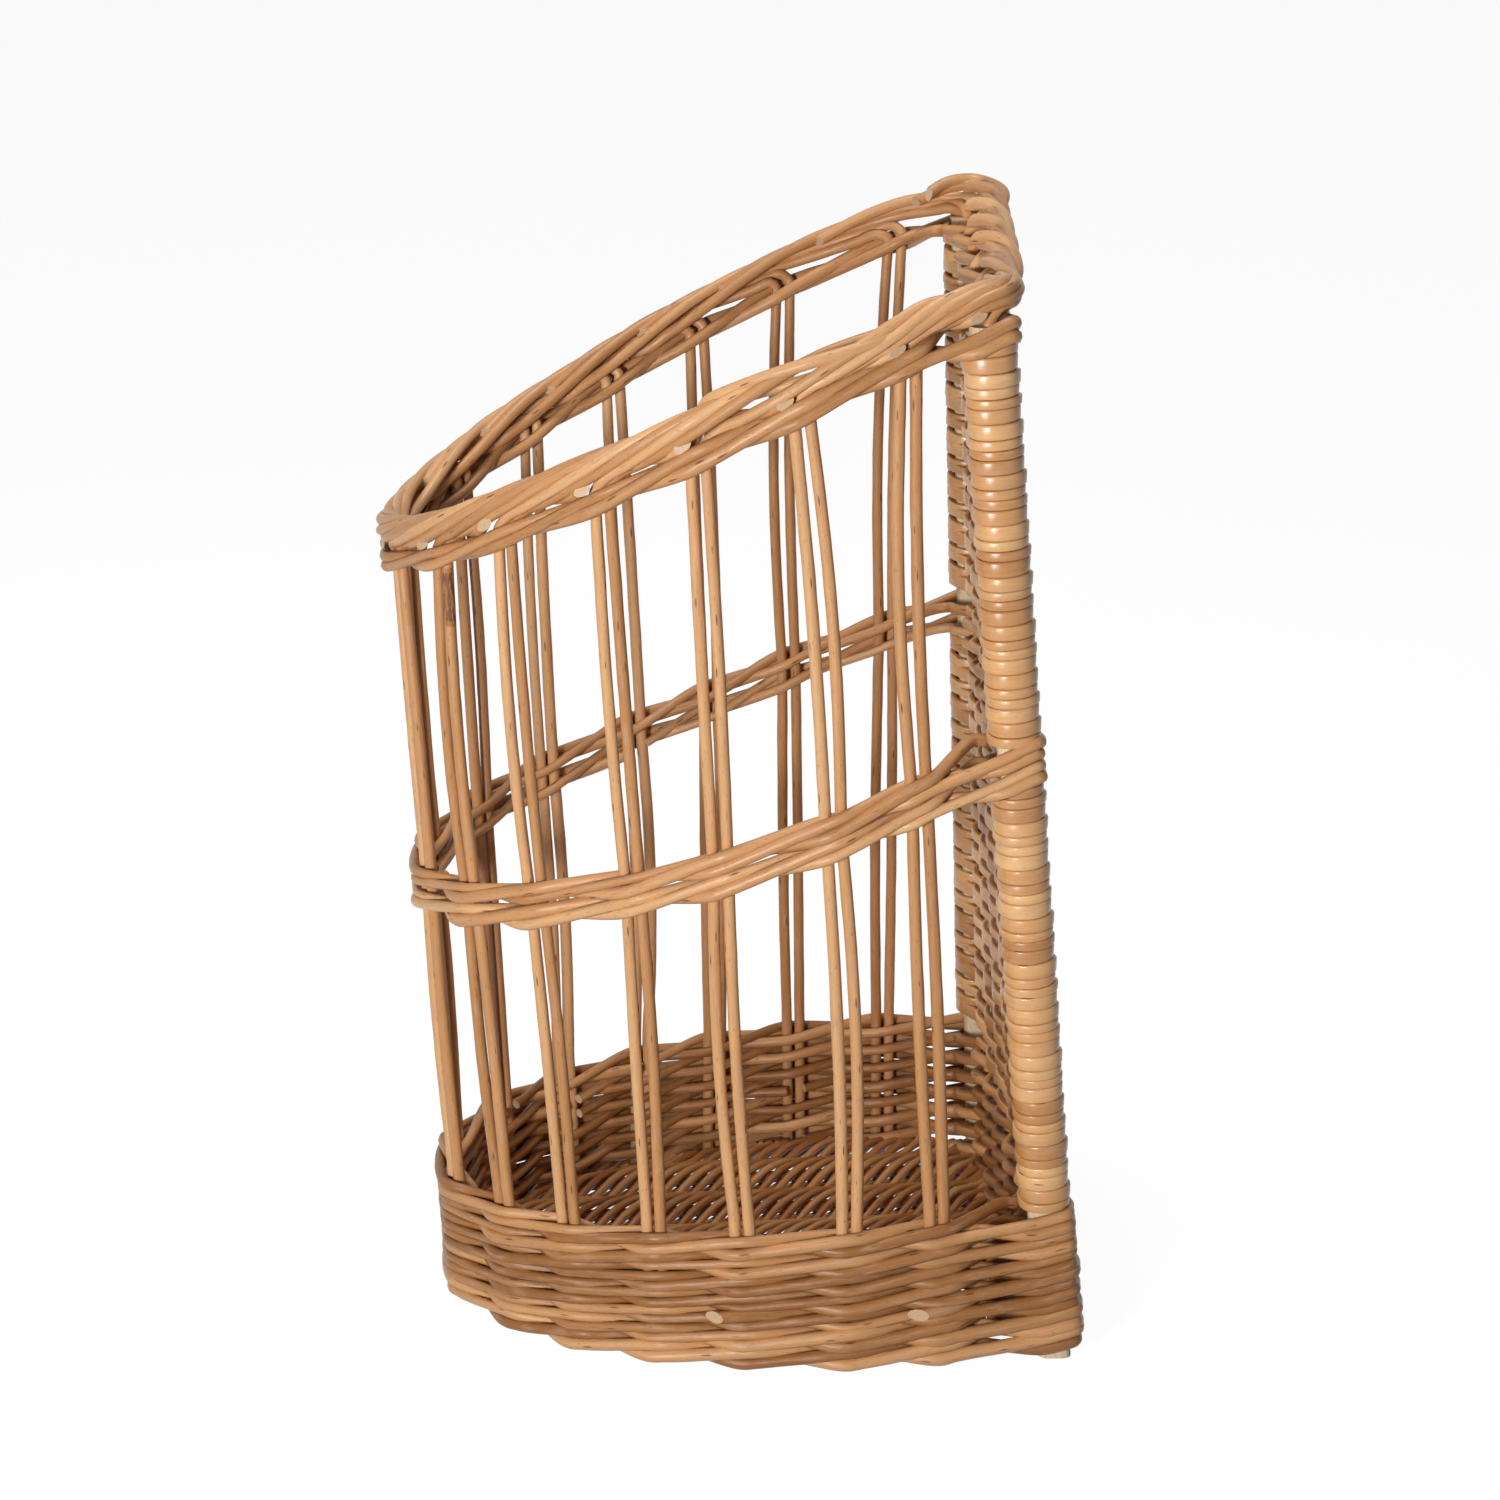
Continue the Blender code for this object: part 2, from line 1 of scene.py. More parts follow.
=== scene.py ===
"""Looks for the willow baguette basket: its rods, strips and battens, their finishes, the light and the camera."""

import logging
import math
from dataclasses import dataclass, field
from enum import Enum
from random import Random

import bpy
import numpy as np
from mathutils import Matrix, Vector


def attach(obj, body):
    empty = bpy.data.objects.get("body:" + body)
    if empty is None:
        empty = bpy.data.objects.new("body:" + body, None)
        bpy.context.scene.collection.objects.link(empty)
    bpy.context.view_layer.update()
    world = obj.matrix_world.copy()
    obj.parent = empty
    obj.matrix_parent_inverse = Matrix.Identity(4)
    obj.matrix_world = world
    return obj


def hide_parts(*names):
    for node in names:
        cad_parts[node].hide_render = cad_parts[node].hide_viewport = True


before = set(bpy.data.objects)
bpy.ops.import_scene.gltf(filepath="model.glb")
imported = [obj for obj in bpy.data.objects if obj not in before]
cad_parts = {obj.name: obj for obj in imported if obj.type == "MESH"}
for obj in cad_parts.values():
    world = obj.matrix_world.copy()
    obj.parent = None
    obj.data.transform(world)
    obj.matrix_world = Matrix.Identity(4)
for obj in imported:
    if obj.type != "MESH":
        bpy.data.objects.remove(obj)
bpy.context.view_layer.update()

BODY = "root"
SHORTEST = 1e-6
MILLIMETRES = 1000

Socket = bpy.types.NodeSocket
Outputs = bpy.types.NodeOutputs

log = logging.getLogger("basket")


class Section(Enum):
    """The section that a sweep has along its line."""

    ROUND = "round"
    FLAT = "flat"


class Kind(Enum):
    """What stands at a place of the wall."""

    PAIR = "pair of stakes"
    POST = "corner post"
    BACK = "back stake"


class Slot(Enum):
    """The record's material slots."""

    STAKE = "willow_stake"
    WEAVE = "willow_weave"
    STRIP = "willow_strip"
    FLOOR = "willow_floor"
    BATTEN = "batten"


# --------------------------------------------------------------------------------------------- lines


def smooth_line(points: np.ndarray, step: float) -> tuple[np.ndarray, np.ndarray]:
    """Draw a centripetal Catmull-Rom line through points.

    Args:
        points: The points that the line passes through.
        step: The greatest distance between two points of the result.

    Returns:
        The line's points, and each one's place among the given points, as a running number.
    """
    padded = np.vstack([2 * points[:1] - points[1:2], points, 2 * points[-1:] - points[-2:-1]])
    line, places = [], []
    for index, (a, b, c, d) in enumerate(zip(padded, padded[1:], padded[2:], padded[3:])):
        knots = [0.0]
        for start, end in ((a, b), (b, c), (c, d)):
            knots.append(knots[-1] + math.sqrt(max(np.linalg.norm(end - start), SHORTEST)))
        k0, k1, k2, k3 = knots
        count = max(1, math.ceil(np.linalg.norm(c - b) / step))
        for share in np.linspace(0.0, 1.0, count, endpoint=False):
            k = k1 + (k2 - k1) * share
            ab = a + (b - a) * (k - k0) / (k1 - k0)
            bc = b + (c - b) * (k - k1) / (k2 - k1)
            cd = c + (d - c) * (k - k2) / (k3 - k2)
            abc = ab + (bc - ab) * (k - k0) / (k2 - k0)
            bcd = bc + (cd - bc) * (k - k1) / (k3 - k1)
            line.append(abc + (bcd - abc) * (k - k1) / (k2 - k1))
            places.append(index + share)
    line.append(points[-1])
    places.append(len(points) - 1.0)
    return np.array(line), np.array(places)


def run_of(line: np.ndarray) -> np.ndarray:
    """Return the length of a line up to each of its points."""
    return np.concatenate([[0.0], np.cumsum(np.linalg.norm(np.diff(line, axis=0), axis=1))])


def unit(vector: np.ndarray) -> np.ndarray:
    """Return a vector at a length of one."""
    return vector / np.linalg.norm(vector)


def upwards(rise: float) -> np.ndarray:
    """Return the vector that leads that far up."""
    return np.array([0.0, 0.0, rise])


def climb(low: float, top: float, step: float) -> np.ndarray:
    """Return the heights from a low one to the top one, with both of them."""
    return np.append(np.arange(low, top, step), top)


# ---------------------------------------------------------------------------------------------- wall


@dataclass(frozen=True)
class WallSizes:
    """The basket's wall line, as the CAD model has it, in metres and shares of them."""

    half_width: float = 0.134
    depth: float = 0.356
    plan_shares: tuple = ((0.0, 1.0), (0.298, 1.104), (0.635, 0.940), (0.888, 0.563), (1.0, 0.0))
    plan_step: float = 0.002
    lean_height: float = 0.600
    lean_forward: float = 0.0377
    lean_side: float = 0.0052
    turn_share: float = 0.126
    spread_share: float = 0.087
    shorten_share: float = 0.025
    level_length: float = 0.014
    shift_x: float = 0.005248
    shift_y: float = 0.185274
    slope_step: float = 0.004


class Wall:
    """The middle line of the basket's wall at the floor, and how it is carried upwards."""

    def __init__(self, sizes: WallSizes):
        """Keep the sizes and draw the U of the wall at the floor."""
        self.sizes = sizes
        near = [(sizes.half_width * wide, -sizes.depth * ahead) for ahead, wide in sizes.plan_shares]
        far = [(-x, y) for x, y in near[:-1]]
        self.line, _ = smooth_line(np.array(far + near[::-1]), sizes.plan_step)
        run = run_of(self.line)
        self.shares = 2 * run / run[-1] - 1
        self.half_length = run[-1] / 2

    def point(self, share: float) -> np.ndarray:
        """Return the floor point at a share of the U, from -1 at the far post to 1 at the near one."""
        return np.array([np.interp(share, self.shares, self.line[:, axis]) for axis in (0, 1)])

    def outward(self, share: float) -> np.ndarray:
        """Return the level direction out of the basket at a share of the U."""
        step = self.sizes.slope_step
        ahead = self.point(min(share + step, 1.0)) - self.point(max(share - step, -1.0))
        return unit(np.array([ahead[1], -ahead[0]]))

    def leaned(self, point: np.ndarray, height: float) -> np.ndarray:
        """Carry a floor point up the leaning wall.

        Args:
            point: The floor point, measured from the middle of the back.
            height: The height to carry it to.

        Returns:
            The point in the part's own frame.
        """
        s = self.sizes
        rise = height / s.lean_height
        x = point[0] * (1 + s.spread_share * rise) + s.turn_share * rise * point[1] + s.lean_side * rise
        y = point[1] * (1 - s.shorten_share * rise) - s.turn_share * rise * point[0] - s.lean_forward * rise
        return np.array([x + s.shift_x, y + s.shift_y, height])

    def turned(self, direction: np.ndarray, height: float) -> np.ndarray:
        """Return a level direction as it lies at a height."""
        turn = self.sizes.turn_share * height / self.sizes.lean_height
        return unit(np.array([direction[0] + turn * direction[1], direction[1] - turn * direction[0], 0.0]))


@dataclass(frozen=True)
class Level:
    """A band's height round the basket, from the front to the level stretch at the back."""

    wall: Wall
    front: float
    back: float
    swell: float = 0.0

    def at(self, y: float) -> float:
        """Return the height over a floor point at y."""
        depth = self.wall.sizes.depth
        t = min(1.0, (depth + y) / (depth - self.wall.sizes.level_length))
        return self.front + (self.back - self.front) * (t + self.swell * t * (1 - t))

    def at_share(self, share: float) -> float:
        """Return the height at a share of the wall line."""
        return self.at(self.wall.point(share)[1])

    def moved(self, rise: float) -> "Level":
        """Return the same level that much higher."""
        return Level(self.wall, self.front + rise, self.back + rise, self.swell)


@dataclass(frozen=True)
class Station:
    """A place of the wall where something upright stands, from its foot to its top."""

    wall: Wall
    kind: Kind
    knots: np.ndarray
    outward: np.ndarray
    floor_ys: tuple
    half_length: float
    half_depth: float
    rounds: int = 4

    def at(self, height: float) -> np.ndarray:
        """Return the upright's middle at a height."""
        heights = self.knots[:, 2]
        if len(heights) == 2:
            share = (height - heights[0]) / (heights[1] - heights[0])
            return self.knots[0] + (self.knots[1] - self.knots[0]) * share
        low, middle, high = self.knots
        a = (middle - low) / (heights[1] - heights[0])
        b = ((high - middle) / (heights[2] - heights[1]) - a) / (heights[2] - heights[0])
        return low + a * (height - heights[0]) + b * (height - heights[0]) * (height - heights[1])

    def floor_y(self, height: float) -> float:
        """Return the floor y of the wall point that the upright passes at a height."""
        return float(np.interp(height, self.knots[:, 2], self.floor_ys))

    def crossing(self, level: Level) -> float:
        """Return the height at which a band crosses the upright."""
        height = level.at(self.floor_ys[0])
        for _ in range(self.rounds):
            height = level.at(self.floor_y(height))
        return height

    def out(self, height: float) -> np.ndarray:
        """Return the direction out of the basket at a height."""
        return self.wall.turned(self.outward, height if self.kind is Kind.PAIR else self.knots[-1, 2] / 2)

    def along(self, height: float) -> np.ndarray:
        """Return the direction along the wall at a height, the way that the weaving runs."""
        out = self.out(height)
        return np.array([-out[1], out[0], 0.0])


@dataclass(frozen=True)
class RingSizes:
    """Where the uprights stand and how thick they are."""

    far_pairs: tuple = (
        (-0.843, -0.865, -0.893), (-0.701, -0.714, -0.721), (-0.569, -0.590, -0.587), (-0.446, -0.467, -0.454),
        (-0.322, -0.320, -0.322), (-0.201, -0.196, -0.196), (-0.072, -0.068, -0.062))
    near_pairs: tuple = (
        (0.072, 0.068, 0.062), (0.201, 0.186, 0.196), (0.310, 0.308, 0.315), (0.429, 0.457, 0.468),
        (0.560, 0.584, 0.607), (0.703, 0.742, 0.746), (0.837, 0.863, 0.895))
    rim: tuple = (0.480, 0.6465, 0.128)
    middle: tuple = (0.266, 0.382, -0.304)
    pair_spacing: float = 0.0085
    stake_radius: float = 0.0035
    stake_foot: float = 0.004
    back_stakes: int = 5
    back_stake_radius: float = 0.004
    post_half: float = 0.010
    post_top: float = 0.6344
    band_front: float = 0.0795
    band_back: float = 0.098
    under_drop: float = 0.0172


class Ring:
    """All the uprights in the order in which the weaving passes them, with the levels of the bands."""

    def __init__(self, wall: Wall, sizes: RingSizes):
        """Place the pairs, the posts and the back stakes."""
        self.wall = wall
        self.sizes = sizes
        self.rim = Level(wall, *sizes.rim)
        self.middle = Level(wall, *sizes.middle)
        self.rim_shares = [shares[2] for shares in sizes.far_pairs + sizes.near_pairs]
        pairs = [self._pair(shares) for shares in sizes.far_pairs + sizes.near_pairs]
        spread = [1 - 2 * (i + 1) / (sizes.back_stakes + 1) for i in range(sizes.back_stakes)]
        self.pairs = pairs
        self.near_post = self._back(1.0, Kind.POST)
        self.far_post = self._back(-1.0, Kind.POST)
        self.back = [self._back(side, Kind.BACK) for side in spread]
        self.stations = pairs + [self.near_post] + self.back + [self.far_post]

    def _pair(self, shares: tuple) -> Station:
        """Return the station of a pair of stakes from its shares at floor, middle band and border."""
        heights = (0.0, self.middle.at_share(shares[1]), self.rim.at_share(shares[2]))
        knots = [self.wall.leaned(self.wall.point(share), h) for share, h in zip(shares, heights)]
        floor_ys = tuple(self.wall.point(share)[1] for share in shares)
        s = self.sizes
        return Station(self.wall, Kind.PAIR, np.array(knots), self.wall.outward(shares[1]), floor_ys,
                       s.pair_spacing / 2, s.stake_radius)

    def _back(self, side: float, kind: Kind) -> Station:
        """Return a station of the straight back, at a share of the half width."""
        foot = np.array([side * self.wall.sizes.half_width, 0.0])
        knots = np.array([self.wall.leaned(foot, 0.0), self.wall.leaned(foot, self.sizes.post_top)])
        half = self.sizes.post_half if kind is Kind.POST else self.sizes.back_stake_radius
        return Station(self.wall, kind, knots, np.array([0.0, 1.0]), (0.0, 0.0), half / 2, half)


# ---------------------------------------------------------------------------------------------- rods


@dataclass
class Rod:
    """One rod or strip: its middle line, its thickness along it, its tone and how its ends are cut."""

    line: np.ndarray
    girth: np.ndarray
    tone: np.ndarray
    start: float = 0.0
    facing: np.ndarray | None = None
    cut_start: np.ndarray | None = None
    cut_end: np.ndarray | None = None
    breadth: np.ndarray | None = None


@dataclass(frozen=True)
class Noise:
    """A noise in the grain's own coordinates: its scale round and along the rod, and its detail."""

    around: float
    along: float
    detail: float


@dataclass(frozen=True)
class Span:
    """The start and the end of a range, and the values that they are carried to."""

    start: float
    end: float
    low: float
    high: float


@dataclass(frozen=True)
class KnotSizes:
    """How far apart a rod's buds lie in the grain's own coordinates, and how big they and their marks are."""

    around: float = 0.8
    along: float = 34.0
    radius: float = 0.27
    swelling: float = 0.00025
    mound_share: float = 2.2
    halo_share: float = 1.6
    rim_share: float = 0.5
    core_share: float = 0.28


KNOTS = KnotSizes()


class NodeBench:
    """A helper that adds nodes to a tree and links them."""

    def __init__(self, tree: bpy.types.NodeTree):
        """Keep the tree."""
        self.tree = tree

    @classmethod
    def cleared(cls, owner: bpy.types.Material | bpy.types.World) -> "NodeBench":
        """Return the bench of an owner's own node tree, with nothing left on it."""
        owner.use_nodes = True
        owner.node_tree.nodes.clear()
        return cls(owner.node_tree)

    def add(self, kind: str, values: dict | None = None, **settings: object) -> bpy.types.Node:
        """Add a node.

        Args:
            kind: The node's type.
            values: Input name or number to a plain value or to the output socket that feeds it.
            settings: The node's own settings.

        Returns:
            The new node.
        """
        node = self.tree.nodes.new(kind)
        for name, value in settings.items():
            setattr(node, name, value)
        for name, value in (values or {}).items():
            socket = node.inputs[name]
            if isinstance(value, Socket):
                self.tree.links.new(value, socket)
            else:
                socket.default_value = value
        return node

    def math(self, operation: str, *values: object, clamp: bool = False) -> Socket:
        """Return the result of a Math node on plain values or sockets."""
        node = self.add("ShaderNodeMath", dict(enumerate(values)), operation=operation, use_clamp=clamp)
        return node.outputs[0]

    def vector(self, operation: str, *values: object) -> Socket:
        """Return the result of a Vector Math node on plain values or sockets."""
        node = self.add("ShaderNodeVectorMath", dict(enumerate(values)), operation=operation)
        return node.outputs["Value" if operation in ("DOT_PRODUCT", "LENGTH") else "Vector"]

    def scaled(self, vector: object, amount: object) -> Socket:
        """Return a vector or a colour times an amount."""
        return self.add("ShaderNodeVectorMath", {"Vector": vector, "Scale": amount}, operation="SCALE").outputs[0]

    def ranged(self, value: object, span: Span, **settings: object) -> Socket:
        """Return a value carried over a span."""
        values = {0: value, 1: span.start, 2: span.end, 3: span.low, 4: span.high}
        return self.add("ShaderNodeMapRange", values, **settings).outputs[0]

    def blend(self, share: object, first: object, second: object) -> Socket:
        """Return a colour between two, by the share of the second."""
        return self.add("ShaderNodeMix", {0: share, 6: first, 7: second}, data_type="RGBA").outputs[2]

    def noise(self, grain: Socket, noise: Noise) -> Socket:
        """Return a noise that is drawn out along the grain."""
        place = self.vector("MULTIPLY", grain, (noise.around, noise.around, noise.along))
        return self.add("ShaderNodeTexNoise", {"Vector": place, "Scale": 1.0, "Detail": noise.detail}).outputs[0]

    def buds(self, grain: Socket) -> Outputs:
        """Return the distance to the nearest bud's middle, and the bud's own random colour, as named outputs."""
        place = self.vector("MULTIPLY", grain, (KNOTS.around, KNOTS.around, KNOTS.along))
        return self.add("ShaderNodeTexVoronoi", {"Vector": place, "Scale": 1.0}).outputs


def linked(name: str, data: bpy.types.ID) -> bpy.types.Object:
    """Return a new object that holds the data and is part of the scene."""
    made = bpy.data.objects.new(name, data)
    bpy.context.scene.collection.objects.link(made)
    return made


class SweepTree:
    """The Geometry Nodes tree that grows a rod or a strip along each line of a wire mesh."""

    inputs: dict = {"Sides": "Int", "Width": "Float", "Thickness": "Float", "Edge radius": "Float", "Swelling": "Float",
              "Waviness": "Float", "Finish": "Material"}
    used_up: tuple = ("across", "middle", "ahead", "slant", "facing", "girth", "run", "breadth")
    uneven: Noise = Noise(0.8, 30.0, 2.0)
    uneven_middle: float = 0.5
    side_corners: float = 4.5

    def __init__(self, section: Section):
        """Build the tree for a round or a flat section."""
        self.section = section
        self.tree = bpy.data.node_groups.new(f"{section.value} willow", "GeometryNodeTree")
        self.bench = NodeBench(self.tree)
        self._sockets()
        self._nodes()

    def _sockets(self) -> None:
        """Name the tree's inputs and its output."""
        face = self.tree.interface
        for direction in ("INPUT", "OUTPUT"):
            face.new_socket("Geometry", in_out=direction, socket_type="NodeSocketGeometry")
        for name, kind in self.inputs.items():
            face.new_socket(name, in_out="INPUT", socket_type=f"NodeSocket{kind}")

    def _named(self, name: str, kind: str = "FLOAT") -> Socket:
        """Return a stored attribute by name."""
        return self.bench.add("GeometryNodeInputNamedAttribute", {"Name": name}, data_type=kind).outputs[0]

    def _vector(self, name: str) -> Socket:
        """Return a stored vector by name."""
        return self._named(name, "FLOAT_VECTOR")

    def _field(self, kind: str) -> Socket:
        """Return what the geometry gives of itself at each point: Position, Tangent or Normal."""
        return self.bench.add(f"GeometryNodeInput{kind}").outputs[0]

    def _store(self, geometry: Socket, name: str, value: object, kind: str = "FLOAT_VECTOR",
               domain: str = "POINT") -> Socket:
        """Store a named attribute and return the geometry."""
        node = self.bench.add("GeometryNodeStoreNamedAttribute", {"Geometry": geometry, "Name": name, "Value": value},
                              data_type=kind, domain=domain)
        return node.outputs[0]

    def _profile(self, given: Outputs) -> Socket:
        """Return the section's outline, which carries its own place as an attribute."""
        bench = self.bench
        if self.section is Section.ROUND:
            shape = bench.add("GeometryNodeCurvePrimitiveCircle", {"Resolution": given["Sides"], "Radius": 1.0})
            return self._store(shape.outputs[0], "across", self._field("Position"))
        box = bench.add("GeometryNodeCurvePrimitiveQuadrilateral", {"Width": given["Thickness"],
                                                                   "Height": given["Width"]})
        shape = bench.add("GeometryNodeFilletCurve", {"Curve": box.outputs[0], "Radius": given["Edge radius"],
                                                      "Count": given["Sides"]}, mode="POLY")
        scale = bench.math("DIVIDE", 2.0, given["Width"])
        return self._store(shape.outputs[0], "across", bench.scaled(self._field("Position"), scale))

    def _nodes(self) -> None:
        """Add the nodes from the wire mesh to the finished rods."""
        bench = self.bench
        given = bench.add("NodeGroupInput").outputs
        curve = bench.add("GeometryNodeMeshToCurve", {"Mesh": given["Geometry"]}).outputs[0]
        if self.section is Section.FLAT:
            values = {"Curve": curve, "Normal": self._vector("facing")}
            curve = bench.add("GeometryNodeSetCurveNormal", values, mode="FREE").outputs[0]
        curve = self._store(curve, "middle", self._field("Position"))
        curve = self._store(curve, "ahead", self._field("Tangent"))
        rods = bench.add("GeometryNodeCurveToMesh", {"Curve": curve, "Profile Curve": self._profile(given),
                                                     "Scale": self._named("girth"), "Fill Caps": True})
        across = bench.add("ShaderNodeSeparateXYZ", {0: self._vector("across")}).outputs
        grain = bench.add("ShaderNodeCombineXYZ", {0: across[0], 1: across[1], 2: self._named("run")}).outputs[0]
        rod = self._store(rods.outputs[0], "grain", grain)
        if self.section is Section.FLAT:
            rod = self._widened(rod, given)
        rod = self._buds(rod, given)
        rod = self._waves(rod, given)
        rod = self._slant(rod)
        corners = bench.add("GeometryNodeInputMeshFaceNeighbors").outputs["Vertex Count"]
        rod = self._store(rod, "cut", bench.math("GREATER_THAN", corners, self.side_corners), "FLOAT", "FACE")
        is_side = bench.math("SUBTRACT", 1.0, self._named("cut"))
        rod = bench.add("GeometryNodeSetShadeSmooth", {"Geometry": rod, "Shade Smooth": is_side}).outputs[0]
        for name in self.used_up:
            rod = bench.add("GeometryNodeRemoveAttribute", {"Geometry": rod, "Name": name}).outputs[0]
        rod = bench.add("GeometryNodeRealizeInstances", {"Geometry": rod}).outputs[0]
        rod = bench.add("GeometryNodeSetMaterial", {"Geometry": rod, "Material": given["Finish"]}).outputs[0]
        bench.add("NodeGroupOutput", {"Geometry": rod})

    def _moved(self, rod: Socket, direction: Socket, amount: Socket) -> Socket:
        """Move the rod's points by an amount along a direction."""
        values = {"Geometry": rod, "Offset": self.bench.scaled(direction, amount)}
        return self.bench.add("GeometryNodeSetPosition", values).outputs[0]

    def _aside(self) -> Socket:
        """Return the way from the rod's middle line to each point."""
        return self.bench.vector("SUBTRACT", self._field("Position"), self._vector("middle"))

    def _widened(self, rod: Socket, given: Outputs) -> Socket:
        """Give a strip its own breadth where it has one."""
        bench = self.bench
        breadth = self._named("breadth")
        has_own = bench.math("GREATER_THAN", breadth, 0.0)
        more = bench.math("SUBTRACT", bench.math("DIVIDE", breadth, given["Width"]), 1.0)
        share = bench.math("MULTIPLY", more, has_own)
        crossed = bench.vector("CROSS_PRODUCT", self._vector("facing"), self._vector("ahead"))
        across = bench.vector("NORMALIZE", crossed)
        amount = bench.math("MULTIPLY", bench.vector("DOT_PRODUCT", self._aside(), across), share)
        return self._moved(rod, across, amount)

    def _buds(self, rod: Socket, given: Outputs) -> Socket:
        """Swell the rod round its buds."""
        distance = self.bench.buds(self._vector("grain"))["Distance"]
        mound = Span(KNOTS.radius * KNOTS.mound_share, 0.0, 0.0, 1.0)
        near = self.bench.ranged(distance, mound, interpolation_type="SMOOTHSTEP")
        return self._moved(rod, self._field("Normal"), self.bench.math("MULTIPLY", near, given["Swelling"]))

    def _waves(self, rod: Socket, given: Outputs) -> Socket:
        """Make the section a little uneven, as a grown rod or a split strip is."""
        noise = self.bench.noise(self._vector("grain"), self.uneven)
        swing = self.bench.math("SUBTRACT", noise, self.uneven_middle)
        return self._moved(rod, self._field("Normal"), self.bench.math("MULTIPLY", swing, given["Waviness"]))

    def _slant(self, rod: Socket) -> Socket:
        """Slant the ends that carry a slant."""
        amount = self.bench.vector("DOT_PRODUCT", self._aside(), self._vector("slant"))
        return self._moved(rod, self._vector("ahead"), amount)

    def _socket_id(self, name: str) -> str:
        """Return the identifier of an input by its name."""
        for item in self.tree.interface.items_tree:
            if item.name == name and item.in_out == "INPUT":
                return item.identifier
        raise KeyError(name)

    def grow(self, name: str, rods: list[Rod], values: dict) -> bpy.types.Object:
        """Grow rods along their lines and return them as one plain mesh.

        Args:
            name: The piece's name.
            rods: The rods of the piece.
            values: Input name to value.

        Returns:
            The finished piece, linked to the scene.
        """
        wire = wire_mesh(name, rods)
        holder = linked(f"{name}_lines", wire)
        modifier = holder.modifiers.new("sweep", "NODES")
        modifier.node_group = self.tree
        for key, value in values.items():
            modifier[self._socket_id(key)] = value
        bpy.context.view_layer.update()
        ready = holder.evaluated_get(bpy.context.evaluated_depsgraph_get())
        mesh = bpy.data.meshes.new_from_object(ready)
        mesh.name = name
        holder.modifiers.remove(modifier)
        bpy.data.objects.remove(holder)
        bpy.data.meshes.remove(wire)
        return linked(name, mesh)


def wire_mesh(name: str, rods: list[Rod]) -> bpy.types.Mesh:
    """Return a mesh of bare lines, one for each rod, with what the sweep needs stored on its points."""
    starts = np.concatenate([[0], np.cumsum([len(rod.line) for rod in rods])])
    edges = [(i, i + 1) for start, end in zip(starts, starts[1:]) for i in range(start, end - 1)]
    mesh = bpy.data.meshes.new(f"{name}_lines")
    mesh.from_pydata(np.vstack([rod.line for rod in rods]).tolist(), edges, [])
    slants, facings, breadths = [], [], []
    for rod in rods:
        breadths.append(rod.breadth if rod.breadth is not None else np.zeros(len(rod.line)))
        facings.append(rod.facing if rod.facing is not None else np.zeros_like(rod.line))
        slant = np.zeros_like(rod.line)
        if rod.cut_start is not None:
            slant[0] = rod.cut_start
        if rod.cut_end is not None:
            slant[-1] = -rod.cut_end
        slants.append(slant)
    scalars = {"girth": [rod.girth for rod in rods], "tone": [rod.tone for rod in rods],
               "run": [run_of(rod.line) + rod.start for rod in rods], "breadth": breadths}
    for key, parts in scalars.items():
        mesh.attributes.new(key, "FLOAT", "POINT").data.foreach_set("value", np.concatenate(parts).astype(np.float32))
    for key, parts in {"slant": slants, "facing": facings}.items():
        flat = np.vstack(parts).astype(np.float32).ravel()
        mesh.attributes.new(key, "FLOAT_VECTOR", "POINT").data.foreach_set("vector", flat)
    return mesh


# ------------------------------------------------------------------------------------------ finishes


